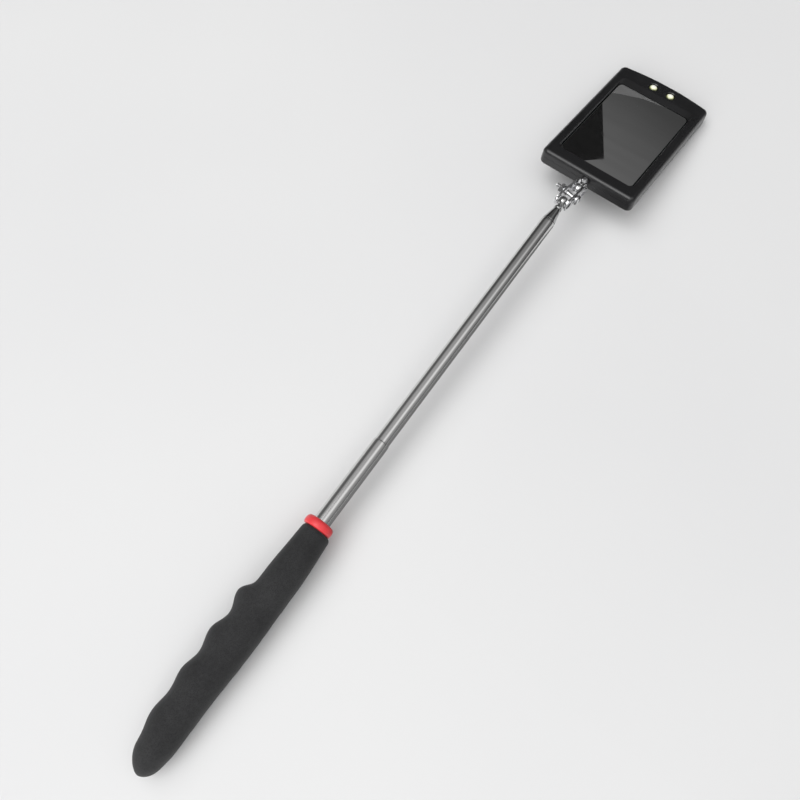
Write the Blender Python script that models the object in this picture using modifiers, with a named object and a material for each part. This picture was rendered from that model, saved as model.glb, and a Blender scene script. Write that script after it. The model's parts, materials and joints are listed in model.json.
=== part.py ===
"""Telescoping inspection mirror: a foam grip on a nest of steel tubes, a two-ball knuckle,
and a flat plastic head that holds a rectangular mirror and two small lamps.

Lengths in the tables below are millimetres; MM turns them into metres. The tool lies on
the ground plane with its mirror up: +Y runs from the grip to the head, +Z is up, and the
finger ridges of the grip face -X. The origin is the bottom centre of the whole object.
"""

from math import cos, pi, radians, sin

import bmesh
import bpy
from mathutils import Matrix, Vector

MM = 0.001
GAP = 0.3

# How the tool lies. The grip rests on its thick end and the head on its lamp end.
MAST_RISE = 2.53
LINK_PITCH = -2.5
LINK_YAW = -9.8
HEAD_PITCH = -10.7
HEAD_YAW = -0.9

# Grip and collar, along the mast from the butt.
GRIP_BUTT = -1.8
GRIP_LENGTH = 108.0
GRIP_OFFSET = 0.45
RIDGE_COUNT = 4
FIRST_RIDGE = 18.4
RIDGE_PITCH = 17.7
RIDGE_RISE = (0.8, 3.1)
RIDGE_BASE = 0.55
GRIP_RINGS = 48
GRIP_SIDES = 22
COLLAR_LENGTH = 4.2
SOCKET_RADIUS = 4.0
SOCKET_START = 6.0

# Tubes: outer radius of the first, step from each to the next, wall, and rolled mouth.
TUBE_RADIUS = 3.7
TUBE_STEP = 0.325
TUBE_WALL = 0.2
TUBE_SIDES = 24
LIP_LENGTH = 1.2
LIP_DROP = 0.05
TUBE_1_SPAN = (8.3, 153.0)
MAST_TOP = 282.0
TUBE_2_FOOT = 141.0
FOOT_STEP = 6.0
SLEEVE_LENGTH = 4.0
SLEEVE_WALL = 0.45

# Knuckle.
BALL_RADIUS = 2.6
LOWER_BALL = 295.0
BALL_SPACING = 10.6
PLATE_INNER = 2.2
PLATE_THICK = 0.9
PLATE_HALF_WIDTH = 3.2
SEAT_RADIUS = 1.7
CLAMP_SHANK = 1.2
STUD_REACH = 7.0

# Head, seen from the mirror side: x across, y to the lamp end, z from the back face.
HEAD_WIDTH = 50.0
HEAD_LENGTH = 83.6
HEAD_BOW = 2.0
HEAD_THICK = 8.0
HEAD_CORNER = 3.0
SPLIT = 4.0
SEAM = 0.15
RIM_ROUND = 1.6
WALL = 1.8
FLOOR = 1.3
GLASS = (39.0, 62.6)
GLASS_MIDDLE = -2.9
GLASS_CORNER = 2.6
LAMP_X = 4.85
LAMP_Y = 36.8
LAMP_RADIUS = 2.25
CELL_RADIUS = 10.0
CELL_THICK = 1.6
CELL_X = 10.6
CELL_Y = 3.0
DOOR = (45.0, 24.0)
SCREW_X = 20.6
SCREW_Y = 36.6
SWITCH_Y = -24.0

BLACK_FOAM = ((0.035, 0.035, 0.037), 0.9, 0.0)
RED_PLASTIC = ((0.72, 0.045, 0.05), 0.35, 0.0)
SATIN_STEEL = ((0.52, 0.51, 0.5), 0.28, 1.0)
BRASS = ((0.72, 0.53, 0.22), 0.3, 1.0)
CHROME = ((0.8, 0.8, 0.81), 0.08, 1.0)
ZINC = ((0.6, 0.61, 0.62), 0.3, 1.0)
BLACK_PLASTIC = ((0.022, 0.022, 0.024), 0.5, 0.0)
GREY_PLASTIC = ((0.3, 0.3, 0.31), 0.5, 0.0)
MIRROR = ((0.85, 0.86, 0.87), 0.02, 1.0)
PALE_FOAM = ((0.75, 0.74, 0.7), 0.9, 0.0)
LAMP_RESIN = ((0.93, 0.92, 0.8), 0.12, 0.0)
BOARD_GREEN = ((0.05, 0.22, 0.1), 0.5, 0.0)
CELL_STEEL = ((0.7, 0.7, 0.7), 0.25, 1.0)

for old in list(bpy.data.objects):
    bpy.data.objects.remove(old, do_unlink=True)

PARTS = bpy.data.collections.new("inspection_mirror")
CUTTERS = bpy.data.collections.new("cutters")
CUTTERS.hide_render = True
for folder in (PARTS, CUTTERS):
    bpy.context.scene.collection.children.link(folder)


# ---------------------------------------------------------------- building blocks


def axis_empty(name, parent, place=(0, 0, 0), turn=None):
    """An empty that carries a frame: `turn` is a 3x3 matrix, `place` is in millimetres."""
    empty = bpy.data.objects.new(name, None)
    PARTS.objects.link(empty)
    empty.empty_display_size = 0.01
    empty.parent = parent
    rotation = turn.to_4x4() if turn else Matrix()
    empty.matrix_local = Matrix.Translation(Vector(place) * MM) @ rotation
    return empty


def put(obj, parent, place=(0, 0, 0), turn=None):
    """Hangs an object on a frame at a place in millimetres."""
    obj.parent = parent
    rotation = turn.to_4x4() if turn else Matrix()
    obj.matrix_local = Matrix.Translation(Vector(place) * MM) @ rotation
    return obj


def finish(obj, finish_of):
    """Gives an object its own material, and smooth shading with sharp corners."""
    colour, roughness, metallic = finish_of
    material = bpy.data.materials.new(obj.name)
    material.use_nodes = True
    shader = material.node_tree.nodes["Principled BSDF"]
    shader.inputs["Base Color"].default_value = (*colour, 1.0)
    shader.inputs["Roughness"].default_value = roughness
    shader.inputs["Metallic"].default_value = metallic
    obj.data.materials.clear()
    obj.data.materials.append(material)
    obj.data.shade_smooth()
    obj.data.set_sharp_from_angle(angle=radians(35))
    return obj


def object_from(name, shape, folder=PARTS):
    """Turns a bmesh into an object."""
    bmesh.ops.recalc_face_normals(shape, faces=shape.faces)
    mesh = bpy.data.meshes.new(name)
    shape.to_mesh(mesh)
    shape.free()
    obj = bpy.data.objects.new(name, mesh)
    folder.objects.link(obj)
    if folder is CUTTERS:
        obj.hide_render = True
        obj.display_type = "WIRE"
    return obj


def box(name, size, middle, folder=PARTS):
    """A box of a given size about a middle point."""
    shape = bmesh.new()
    bmesh.ops.create_cube(shape, size=1.0)
    bmesh.ops.scale(shape, vec=Vector(size) * MM, verts=shape.verts)
    bmesh.ops.translate(shape, vec=Vector(middle) * MM, verts=shape.verts)
    return object_from(name, shape, folder)


def rod(name, radius, low, high, place=(0, 0), sides=TUBE_SIDES, folder=PARTS):
    """A solid cylinder along Z between two heights."""
    shape = bmesh.new()
    bmesh.ops.create_cone(
        shape, cap_ends=True, segments=sides, depth=(high - low) * MM,
        radius1=radius * MM, radius2=radius * MM,
    )
    middle = Vector((place[0], place[1], (low + high) / 2)) * MM
    bmesh.ops.translate(shape, vec=middle, verts=shape.verts)
    return object_from(name, shape, folder)


def evaluated_mesh(obj):
    """A copy of an object's mesh with its modifiers applied."""
    graph = bpy.context.evaluated_depsgraph_get()
    return bpy.data.meshes.new_from_object(obj.evaluated_get(graph))


def turned(name, profile, closed=False, sides=TUBE_SIDES):
    """A turned solid about Z. The profile's (radius, height) points run down its outer side."""
    shape = bmesh.new()
    points = [shape.verts.new((radius * MM, 0, height * MM)) for radius, height in profile]
    for first, second in zip(points, points[1:]):
        shape.edges.new((first, second))
    if closed:
        shape.edges.new((points[-1], points[0]))
    mesh = bpy.data.meshes.new(name)
    shape.to_mesh(mesh)
    shape.free()
    obj = bpy.data.objects.new(name, mesh)
    PARTS.objects.link(obj)
    screw = obj.modifiers.new("turn", "SCREW")
    screw.axis = "Z"
    screw.steps = sides
    screw.render_steps = sides
    screw.use_merge_vertices = True
    screw.merge_threshold = 0.00001
    bpy.context.view_layer.update()
    solid = evaluated_mesh(obj)
    obj.modifiers.clear()
    obj.data = solid
    bpy.data.meshes.remove(mesh)
    solid.name = name
    return obj


def outline_plate(name, outline, low, high, folder=PARTS):
    """A flat plate: a filled 2D curve through the outline, extruded between two heights."""
    curve = bpy.data.curves.new(name, "CURVE")
    curve.dimensions = "2D"
    curve.fill_mode = "BOTH"
    curve.extrude = (high - low) / 2 * MM
    spline = curve.splines.new("POLY")
    spline.points.add(len(outline) - 1)
    for point, (x, y) in zip(spline.points, outline):
        point.co = (x * MM, y * MM, 0, 1)
    spline.use_cyclic_u = True
    guide = bpy.data.objects.new(name + "_outline", curve)
    folder.objects.link(guide)
    bpy.context.view_layer.update()
    mesh = evaluated_mesh(guide)
    bpy.data.objects.remove(guide, do_unlink=True)
    shape = bmesh.new()
    shape.from_mesh(mesh)
    bpy.data.meshes.remove(mesh)
    bmesh.ops.remove_doubles(shape, verts=shape.verts, dist=1e-6)
    bmesh.ops.dissolve_limit(shape, angle_limit=radians(0.5), verts=shape.verts, edges=shape.edges)
    bmesh.ops.translate(shape, vec=(0, 0, (low + high) / 2 * MM), verts=shape.verts)
    return object_from(name, shape, folder)


def rounded_outline(width, length, corner, steps=5, middle=(0, 0), bow=0.0):
    """A rectangle with round corners, whose +Y end can bow out in a shallow arc."""
    points = []
    quarters = ((1, -1, -90), (1, 1, 0), (-1, 1, 90), (-1, -1, 180))
    for side_x, side_y, start in quarters:
        if bow and (side_x, side_y) == (-1, 1):
            span = width / 2 - corner
            for step in range(1, 7):
                across = span * (1 - 2 * step / 7)
                points.append((across, length / 2 + bow * (1 - (across / span) ** 2)))
        for step in range(steps + 1):
            angle = radians(start + 90 * step / steps)
            points.append((
                side_x * (width / 2 - corner) + corner * cos(angle),
                side_y * (length / 2 - corner) + corner * sin(angle),
            ))
    return [(x + middle[0], y + middle[1]) for x, y in points]


def soften(obj, height, width, segments=3):
    """Rounds the edges of a plate that lie at one height."""
    shape = bmesh.new()
    shape.from_mesh(obj.data)
    edges = [edge for edge in shape.edges
             if all(abs(vert.co.z - height * MM) < 1e-7 for vert in edge.verts)]
    bmesh.ops.bevel(shape, geom=edges, offset=width * MM, offset_type="OFFSET",
                    segments=segments, profile=0.5, affect="EDGES")
    shape.to_mesh(obj.data)
    shape.free()
    return obj


def combine(obj, operation, others):
    """Cuts the others from an object, or joins them to it, and removes them."""
    for other in others:
        boolean = obj.modifiers.new(operation.lower(), "BOOLEAN")
        boolean.operation = operation
        boolean.solver = "EXACT"
        boolean.object = other
    bpy.context.view_layer.update()
    solid = evaluated_mesh(obj)
    obj.modifiers.clear()
    obj.data = solid
    solid.name = obj.name
    for other in others:
        bpy.data.objects.remove(other, do_unlink=True)
    return obj


def cut(obj, *others):
    """Cuts the others from an object."""
    return combine(obj, "DIFFERENCE", others)


def join(obj, *others):
    """Joins the others to an object."""
    return combine(obj, "UNION", others)


# ---------------------------------------------------------------- frames

# The mast's own Z runs from the butt to the head, and its -Y faces up.
ROOT = axis_empty("assembly", None)
MAST_TURN = Matrix.Rotation(radians(MAST_RISE - 90), 3, "X")
MAST = axis_empty("mast_frame", ROOT, turn=MAST_TURN)
LINK_TURN = (
    Matrix.Rotation(radians(LINK_YAW), 3, "Z") @ Matrix.Rotation(radians(LINK_PITCH - 90), 3, "X")
)
LOWER_JOINT = MAST_TURN @ Vector((0, 0, LOWER_BALL))
LINK = axis_empty("lower_ball_frame", ROOT, LOWER_JOINT, LINK_TURN)
UPPER_JOINT = LOWER_JOINT + LINK_TURN @ Vector((0, 0, BALL_SPACING))
HEAD_TURN = (
    Matrix.Rotation(radians(HEAD_YAW), 3, "Z") @ Matrix.Rotation(radians(HEAD_PITCH), 3, "X")
)
STUD_TURN = HEAD_TURN @ Matrix.Rotation(radians(-90), 3, "X")
STUD = axis_empty("upper_ball_frame", ROOT, UPPER_JOINT, STUD_TURN)
HEAD_MIDDLE = UPPER_JOINT + HEAD_TURN @ Vector((0, STUD_REACH + HEAD_LENGTH / 2, -HEAD_THICK / 2))
HEAD = axis_empty("head_frame", ROOT, HEAD_MIDDLE, HEAD_TURN)


# ---------------------------------------------------------------- grip and collar


def blend(low, high, value):
    """0 below `low`, 1 above `high`, and a smooth step between."""
    share = min(max((value - low) / (high - low), 0.0), 1.0)
    return share * share * (3 - 2 * share)


def butt_swell(height, span):
    """How full the grip is near its butt: 0 at the tip, and 1 from `span` on."""
    nose = min(1.0, max(height - GRIP_BUTT, 0.0) / span)
    return (1 - (1 - nose) ** 2.6) ** 0.62


def grip_limits(height):
    """How far the grip reaches to -X, to +X and to each of +-Y at a height along the mast."""
    plain = 8.8 - 0.5 * blend(40, 84, height) - 1.7 * blend(84, GRIP_LENGTH + 8, height)
    last = FIRST_RIDGE + RIDGE_PITCH * (RIDGE_COUNT - 1)
    along = min(max((height - FIRST_RIDGE) / (last - FIRST_RIDGE), 0.0), 1.0)
    rise = RIDGE_RISE[0] + (RIDGE_RISE[1] - RIDGE_RISE[0]) * along
    wave = 0.5 + 0.5 * cos(2 * pi * (height - FIRST_RIDGE) / RIDGE_PITCH)
    ridged = 1 - blend(last + 2, last + 7, height)
    left = plain + (rise * wave - RIDGE_BASE) * ridged - 1.5 * (1 - blend(8, 19, height))
    left -= 1.3 * (1 - ridged) - 0.4 * blend(90, GRIP_LENGTH, height)
    deep = plain - 0.4 * blend(70, GRIP_LENGTH, height)
    return (
        (left - GRIP_OFFSET) * butt_swell(height, 14),
        (plain + GRIP_OFFSET) * butt_swell(height, 9),
        deep * butt_swell(height, 12),
    )


def grip():
    """A moulded foam sleeve: round, with finger ridges along one side and a blunt butt."""
    shape = bmesh.new()
    rings = []
    for ring in range(GRIP_RINGS + 1):
        share = ring / GRIP_RINGS
        height = GRIP_BUTT + (GRIP_LENGTH - GRIP_BUTT) * share - 5 * sin(pi * share) * (1 - share)
        left, right, deep = grip_limits(max(height, GRIP_BUTT + 0.3))
        loop = []
        for side in range(GRIP_SIDES):
            angle = 2 * pi * side / GRIP_SIDES
            reach = right if cos(angle) > 0 else left
            loop.append(shape.verts.new((
                reach * cos(angle) * MM, deep * sin(angle) * MM, height * MM)))
        rings.append(loop)
    for lower, upper in zip(rings, rings[1:]):
        for side in range(GRIP_SIDES):
            after = (side + 1) % GRIP_SIDES
            shape.faces.new((lower[side], lower[after], upper[after], upper[side]))
    shape.faces.new(rings[0])
    shape.faces.new(rings[-1])
    solid = object_from("grip", shape)
    socket = rod("grip_socket", SOCKET_RADIUS, SOCKET_START, GRIP_LENGTH + 5, folder=CUTTERS)
    return put(finish(cut(solid, socket), BLACK_FOAM), MAST)


def collar():
    """A red ring that closes the front of the grip around the first tube."""
    low = GRIP_LENGTH + GAP
    high = low + COLLAR_LENGTH
    profile = (
        (5.6, high), (6.2, high - 0.25), (6.5, high - 0.8), (6.55, low + 1.5), (6.4, low),
        (SOCKET_RADIUS, low), (SOCKET_RADIUS, high),
    )
    return put(finish(turned("red_collar", profile, closed=True), RED_PLASTIC), MAST)


# ---------------------------------------------------------------- mast


def tube_radius(number):
    return TUBE_RADIUS - TUBE_STEP * (number - 1)


def tube_foot(number):
    return TUBE_1_SPAN[0] if number == 1 else TUBE_2_FOOT + FOOT_STEP * (number - 2)


def tube_mouth(number):
    return TUBE_1_SPAN[1] if number == 1 else MAST_TOP


def tube(number):
    """A drawn steel tube whose mouth is rolled in a little, to keep the next one's sleeve in."""
    outer = tube_radius(number)
    inner = outer - TUBE_WALL
    low, high = tube_foot(number), tube_mouth(number)
    lip = high - LIP_LENGTH
    profile = (
        (outer - LIP_DROP - 0.05, high), (outer - LIP_DROP, high - 0.15),
        (outer, lip), (outer, low), (inner, low), (inner, lip),
        (inner - LIP_DROP, high - 0.15), (inner - LIP_DROP, high),
    )
    return put(finish(turned(f"tube_{number}", profile, closed=True), SATIN_STEEL), MAST)


def friction_sleeve(number):
    """The sprung brass bushing under a sliding tube, which grips the tube around it."""
    outer = tube_radius(number - 1) - TUBE_WALL - 0.05
    high = tube_foot(number) - GAP
    low = high - SLEEVE_LENGTH
    inner = outer - SLEEVE_WALL
    profile = (
        (outer - 0.12, high), (outer, high - 0.8), (outer, low + 0.8), (outer - 0.12, low),
        (inner, low), (inner, high),
    )
    return put(finish(turned(f"tube_{number}_sleeve", profile, closed=True), BRASS), MAST)


def foot_plug():
    """The plug that closes the first tube inside the grip."""
    seat = TUBE_1_SPAN[0] - GAP
    profile = (
        (0, seat + 2.0), (3.0, seat + 2.0), (3.3, seat + 1.6), (3.3, seat),
        (TUBE_RADIUS, seat), (TUBE_RADIUS, seat - 1.4), (0, seat - 1.4),
    )
    return put(finish(turned("tube_1_foot_plug", profile), ZINC), MAST)


def ball_arc(middle, first, last, steps=10):
    """Profile points round a ball, between two angles measured from the axis's top end."""
    angles = (radians(first + (last - first) * step / steps) for step in range(steps + 1))
    return [(BALL_RADIUS * sin(angle), middle + BALL_RADIUS * cos(angle)) for angle in angles]


def tip_stud():
    """The turned tip: a plug in the last tube, a shoulder over the nest, a cone and a ball."""
    plug = tube_radius(4) - TUBE_WALL - LIP_DROP - 0.1
    shoulder = MAST_TOP + GAP
    profile = [(0, LOWER_BALL + BALL_RADIUS)]
    profile += ball_arc(LOWER_BALL, 18, 148)
    profile += [
        (1.3, LOWER_BALL - 3.4), (1.45, shoulder + 7.6), (2.0, shoulder + 5.0),
        (2.9, shoulder + 1.2), (3.2, shoulder + 0.5), (3.2, shoulder), (plug, shoulder),
        (plug, shoulder - 7.4), (plug - 0.4, shoulder - 8), (0, shoulder - 8),
    ]
    return put(finish(turned("tip_ball_stud", profile), CHROME), MAST)


# ---------------------------------------------------------------- knuckle

ACROSS = Matrix.Rotation(radians(90), 3, "Y")
CLAMP_MIDDLE = BALL_SPACING / 2


def clamp_plate(name, side):
    """A stamped plate with a round seat over each ball and a hole for the screw between them."""
    outline = rounded_outline(
        BALL_SPACING + 2 * PLATE_HALF_WIDTH - 0.8, 2 * PLATE_HALF_WIDTH, 2.6, steps=6
    )
    low = PLATE_INNER if side > 0 else -PLATE_INNER - PLATE_THICK
    plate = outline_plate(name, outline, low, low + PLATE_THICK)
    half = BALL_SPACING / 2
    reach = (low - 1, low + PLATE_THICK + 1)
    holes = [rod("seat", SEAT_RADIUS, *reach, place=(x, 0), sides=20, folder=CUTTERS)
             for x in (-half, half)]
    holes.append(rod("screw_hole", CLAMP_SHANK + GAP, *reach, sides=16, folder=CUTTERS))
    cut(plate, *holes)
    return put(finish(plate, CHROME), LINK, (0, 0, CLAMP_MIDDLE), ACROSS)


def clamp_screw():
    """The pan-head screw that draws the two plates onto the balls; its head is at +X."""
    face = PLATE_INNER + PLATE_THICK + GAP
    profile = (
        (0, face + 1.7), (1.3, face + 1.65), (2.1, face + 1.25), (2.45, face + 0.6), (2.45, face),
        (CLAMP_SHANK, face), (CLAMP_SHANK, -8.0), (0.9, -8.4), (0, -8.4),
    )
    screw = turned("clamp_screw", profile, sides=16)
    cut(screw, box("slot", (0.6, 6, 1.6), (0, 0, face + 1.9), CUTTERS))
    return put(finish(screw, CHROME), LINK, (0, 0, CLAMP_MIDDLE), ACROSS)


def clamp_washer():
    """The spring washer under the nut."""
    high = -(PLATE_INNER + PLATE_THICK + GAP)
    low = high - 0.6
    profile = ((2.2, high), (2.2, low), (CLAMP_SHANK + GAP, low), (CLAMP_SHANK + GAP, high))
    washer = turned("clamp_washer", profile, closed=True, sides=16)
    return put(finish(washer, ZINC), LINK, (0, 0, CLAMP_MIDDLE), ACROSS)


def clamp_nut():
    """The hexagonal nut at -X."""
    high = -(PLATE_INNER + PLATE_THICK + 2 * GAP + 0.6)
    nut = rod("clamp_nut", 2.55, high - 1.7, high, sides=6)
    cut(nut, rod("nut_bore", CLAMP_SHANK + 0.15, high - 3, high + 1, sides=16, folder=CUTTERS))
    return put(finish(nut, CHROME), LINK, (0, 0, CLAMP_MIDDLE), ACROSS)


def upper_stud():
    """The ball stud of the head: ball, neck, outside collar, and a shank into the head."""
    profile = [(0, 14.4), (1.2, 14.4), (1.5, 14.1)]
    profile += [(1.5, STUD_REACH - GAP), (2.3, STUD_REACH - GAP)]
    profile += [(2.3, STUD_REACH - 2.2), (1.3, STUD_REACH - 2.7)]
    profile += ball_arc(0, 30, 162) + [(0, -BALL_RADIUS)]
    return put(finish(turned("upper_ball_stud", profile), CHROME), STUD)


# ---------------------------------------------------------------- head


def head_outline(inset=0.0):
    return rounded_outline(
        HEAD_WIDTH - 2 * inset, HEAD_LENGTH - 2 * inset, HEAD_CORNER - inset * 0.6,
        bow=HEAD_BOW,
    )


def stud_channel():
    """The round way for the upper stud through the end wall, from the head's mid-height."""
    channel = rod("stud_channel", 1.5 + GAP, -HEAD_LENGTH / 2 - 2, -HEAD_LENGTH / 2 + 9,
                  sides=20, folder=CUTTERS)
    channel.data.transform(Matrix.Rotation(radians(-90), 4, "X"))
    channel.data.transform(Matrix.Translation((0, 0, SPLIT * MM)))
    return channel


def corner_places():
    return [(x, y) for y in (-SCREW_Y, SCREW_Y) for x in (-SCREW_X, SCREW_X)]


def rear_housing():
    """The back half of the head: a shallow tray with a battery opening, a switch slot, four
    screw bosses and half of the stud's way."""
    top = SPLIT - SEAM
    shell = outline_plate("rear_housing", head_outline(), 0, top)
    soften(shell, 0, 1.0)
    hollow = outline_plate("hollow", head_outline(WALL), FLOOR, top + 2, CUTTERS)
    cut(shell, hollow)
    bosses = [rod("boss", 2.9, FLOOR - 0.6, top - 0.05, place, 16, CUTTERS)
              for place in corner_places()]
    block = box("stud_block", (9, 8, top - 0.05 - FLOOR + 0.6),
                (0, -HEAD_LENGTH / 2 + WALL + 3.5, (top - 0.05 + FLOOR - 0.6) / 2), CUTTERS)
    join(shell, *bosses, block)
    wide, long = DOOR[0] + 2 * GAP, DOOR[1] + 2 * GAP
    door = box("door_opening", (wide - 2, long - 2, 6), (0, CELL_Y, 0), CUTTERS)
    ledge = box("door_ledge", (wide, long, 1.6), (0, CELL_Y, 0), CUTTERS)
    recess = box("switch_recess", (12, 6, 1.6), (0, SWITCH_Y, 0), CUTTERS)
    slot = box("switch_slot", (5.4, 2.6, 6), (0, SWITCH_Y, 0), CUTTERS)
    clip = box("clip_space", (6.2, 1.6, 6), (0, -HEAD_LENGTH / 2 + 5.6, 4.2), CUTTERS)
    cuts = [door, ledge, recess, slot, clip, stud_channel()]
    for place in corner_places():
        cuts.append(rod("screw_head", 2.2, -1, 1.3, place, 16, CUTTERS))
        cuts.append(rod("screw_hole", 1.1, 0, 9, place, 12, CUTTERS))
    return put(finish(cut(shell, *cuts), BLACK_PLASTIC), HEAD)


def front_bezel():
    """The front half: a thick frame with a pocket for the glass and round holes for the lamps."""
    low = SPLIT + SEAM
    frame = outline_plate("front_bezel", head_outline(), low, HEAD_THICK)
    soften(frame, HEAD_THICK, RIM_ROUND, 4)
    width, length = GLASS
    pocket = outline_plate(
        "glass_pocket",
        rounded_outline(width + 0.9, length + 0.9, GLASS_CORNER + 0.3, middle=(0, GLASS_MIDDLE)),
        low + 0.9, HEAD_THICK + 2, CUTTERS,
    )
    lamp_space = box("lamp_space", (24, 7.4, 4.6), (0, LAMP_Y - 0.4, low), CUTTERS)
    clip = box("clip_space", (6.2, 1.6, 5.2), (0, -HEAD_LENGTH / 2 + 5.6, SPLIT), CUTTERS)
    cuts = [pocket, lamp_space, clip, stud_channel()]
    for side in (-1, 1):
        place = (side * LAMP_X, LAMP_Y)
        cuts.append(rod("lamp_hole", LAMP_RADIUS + 0.25, low - 1, 10, place, 20, CUTTERS))
    for place in corner_places():
        cuts.append(rod("pilot", 1.1, low - 1, HEAD_THICK - 1.2, place, 12, CUTTERS))
    return put(finish(cut(frame, *cuts), BLACK_PLASTIC), HEAD)


def glass_and_pad():
    """The silvered glass plate, and the foam pad that holds it in its pocket."""
    width, length = GLASS
    outline = rounded_outline(width, length, GLASS_CORNER, middle=(0, GLASS_MIDDLE))
    glass = outline_plate("mirror_glass", outline, 5.75, 7.05)
    soften(glass, 7.05, 0.25, 1)
    put(finish(glass, MIRROR), HEAD)
    inner = rounded_outline(width - 2, length - 2, GLASS_CORNER - 1, middle=(0, GLASS_MIDDLE))
    put(finish(outline_plate("mirror_pad", inner, 5.2, 5.5), PALE_FOAM), HEAD)


def lamps():
    """Two low domed lamps on a small board, at the far end of the head."""
    for name, side in (("lamp_left", -1), ("lamp_right", 1)):
        profile = [(0, 8.9)]
        for angle in (20, 38, 56, 74, 90):
            profile.append((LAMP_RADIUS * sin(radians(angle)), 7.5 + 1.4 * cos(radians(angle))))
        profile += [(LAMP_RADIUS, 6.2), (2.35, 6.2), (2.35, 5.5), (0, 5.5)]
        lamp = turned(name, profile, sides=20)
        put(finish(lamp, LAMP_RESIN), HEAD, (side * LAMP_X, LAMP_Y, 0))
    board = box("lamp_board", (21, 6.2, 0.9), (0, LAMP_Y - 0.4, 4.7))
    put(finish(board, BOARD_GREEN), HEAD)


def cells_and_contacts():
    """Two flat coin cells side by side, with a strip over each and a bridge under both."""
    for name, side in (("coin_cell_left", -1), ("coin_cell_right", 1)):
        base = FLOOR - 0.1
        profile = [(0, base + CELL_THICK), (8.6, base + CELL_THICK), (8.8, base + CELL_THICK - 0.2)]
        profile += [(CELL_RADIUS - 0.3, base + CELL_THICK - 0.2), (CELL_RADIUS, base + CELL_THICK - 0.5)]
        profile += [(CELL_RADIUS, base + 0.15), (CELL_RADIUS - 0.15, base), (0, base)]
        cell = turned(name, profile, sides=28)
        put(finish(cell, CELL_STEEL), HEAD, (side * CELL_X, CELL_Y, 0))
    for name, side in (("contact_left", -1), ("contact_right", 1)):
        strip = box(name, (4.0, 16.0, 0.25), (side * CELL_X, CELL_Y + 6.0, 3.4))
        put(finish(strip, BRASS), HEAD)
    bridge = box("contact_bridge", (24.0, 3.0, 0.25), (0, CELL_Y - 6.0, 3.4))
    put(finish(bridge, BRASS), HEAD)


def battery_door():
    """A snap-in plate, flush with the back of the head, with a nail groove."""
    corner_cuts = rounded_outline(DOOR[0], DOOR[1], 0.6, steps=2, middle=(0, CELL_Y))
    door = outline_plate("battery_door", corner_cuts, 0, 0.55)
    step = box("door_step", (DOOR[0] - 2.6, DOOR[1] - 2.6, 0.7), (0, CELL_Y, 0.6), CUTTERS)
    join(door, step)
    cut(door, box("nail_groove", (12, 1.2, 0.6), (0, CELL_Y + DOOR[1] / 2 - 3, 0), CUTTERS))
    return put(finish(door, BLACK_PLASTIC), HEAD)


def slide_switch():
    """The switch can inside the head, and the knob in a recess of its back."""
    can = box("switch_body", (11, 5, 1.8), (0, SWITCH_Y, 2.6))
    put(finish(can, ZINC), HEAD)
    knob = box("switch_knob", (4.6, 4.4, 0.5), (0, 0, 0.5))
    join(knob, box("knob_stem", (2.6, 1.8, 0.9), (0, 0, 0.95), CUTTERS))
    grooves = [box("knob_groove", (0.35, 6, 0.3), (x, 0, 0.25), CUTTERS) for x in (-1.2, 0, 1.2)]
    put(finish(cut(knob, *grooves), GREY_PLASTIC), HEAD, (-1.0, SWITCH_Y, 0))


def housing_screws():
    """Four small screws that hold the two halves of the head together."""
    names = ("screw_stem_left", "screw_stem_right", "screw_lamp_left", "screw_lamp_right")
    for name, (x, y) in zip(names, corner_places()):
        profile = (
            (0, 6.3), (0.55, 6.1), (0.8, 5.3), (0.8, 1.0),
            (1.85, 1.0), (1.85, 0.55), (1.3, 0.25), (0, 0.2),
        )
        screw = turned(name, profile, sides=12)
        bars = [box("drive", size, (0, 0, 0.1), CUTTERS)
                for size in ((2.2, 0.45, 0.7), (0.45, 2.2, 0.7))]
        put(finish(cut(screw, *bars), ZINC), HEAD, (x, y, 0))


def stud_clip():
    """The ring pressed onto the upper stud inside the head, which keeps it in."""
    middle = STUD_REACH + 5.6
    profile = ((2.2, middle + 0.45), (2.2, middle - 0.45), (1.62, middle - 0.45), (1.62, middle + 0.45))
    return put(finish(turned("stud_clip", profile, closed=True, sides=20), ZINC), STUD)


def rest_on_ground():
    """Moves the whole tool so that the origin is its bottom centre."""
    bpy.context.view_layer.update()
    corners = [obj.matrix_world @ vert.co
               for obj in PARTS.objects if obj.type == "MESH" for vert in obj.data.vertices]
    low = Vector([min(corner[axis] for corner in corners) for axis in range(3)])
    high = Vector([max(corner[axis] for corner in corners) for axis in range(3)])
    middle = (low + high) / 2
    ROOT.location = (-middle.x, -middle.y, -low.z)
    bpy.context.view_layer.update()


grip()
collar()
foot_plug()
for tube_number in (1, 2, 3, 4):
    tube(tube_number)
for tube_number in (2, 3, 4):
    friction_sleeve(tube_number)
tip_stud()
clamp_plate("clamp_plate_left", -1)
clamp_plate("clamp_plate_right", 1)
clamp_screw()
clamp_washer()
clamp_nut()
upper_stud()
stud_clip()
rear_housing()
front_bezel()
glass_and_pad()
lamps()
cells_and_contacts()
battery_door()
slide_switch()
housing_screws()
rest_on_ground()
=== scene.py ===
# %% [markdown]
# # A telescoping inspection mirror
#
# A mechanic looks behind things with this tool. It has a foam grip, four steel tubes that
# slide in one another, a knuckle with two ball joints, and a flat head with a mirror and
# two lamps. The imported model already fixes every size, place and joint, so this lesson
# keeps them and gives each piece its fine shape and its finish.

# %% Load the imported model
import json
from math import cos, pi, radians, sin

import bmesh
import bpy
from mathutils import Matrix, Vector


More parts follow.
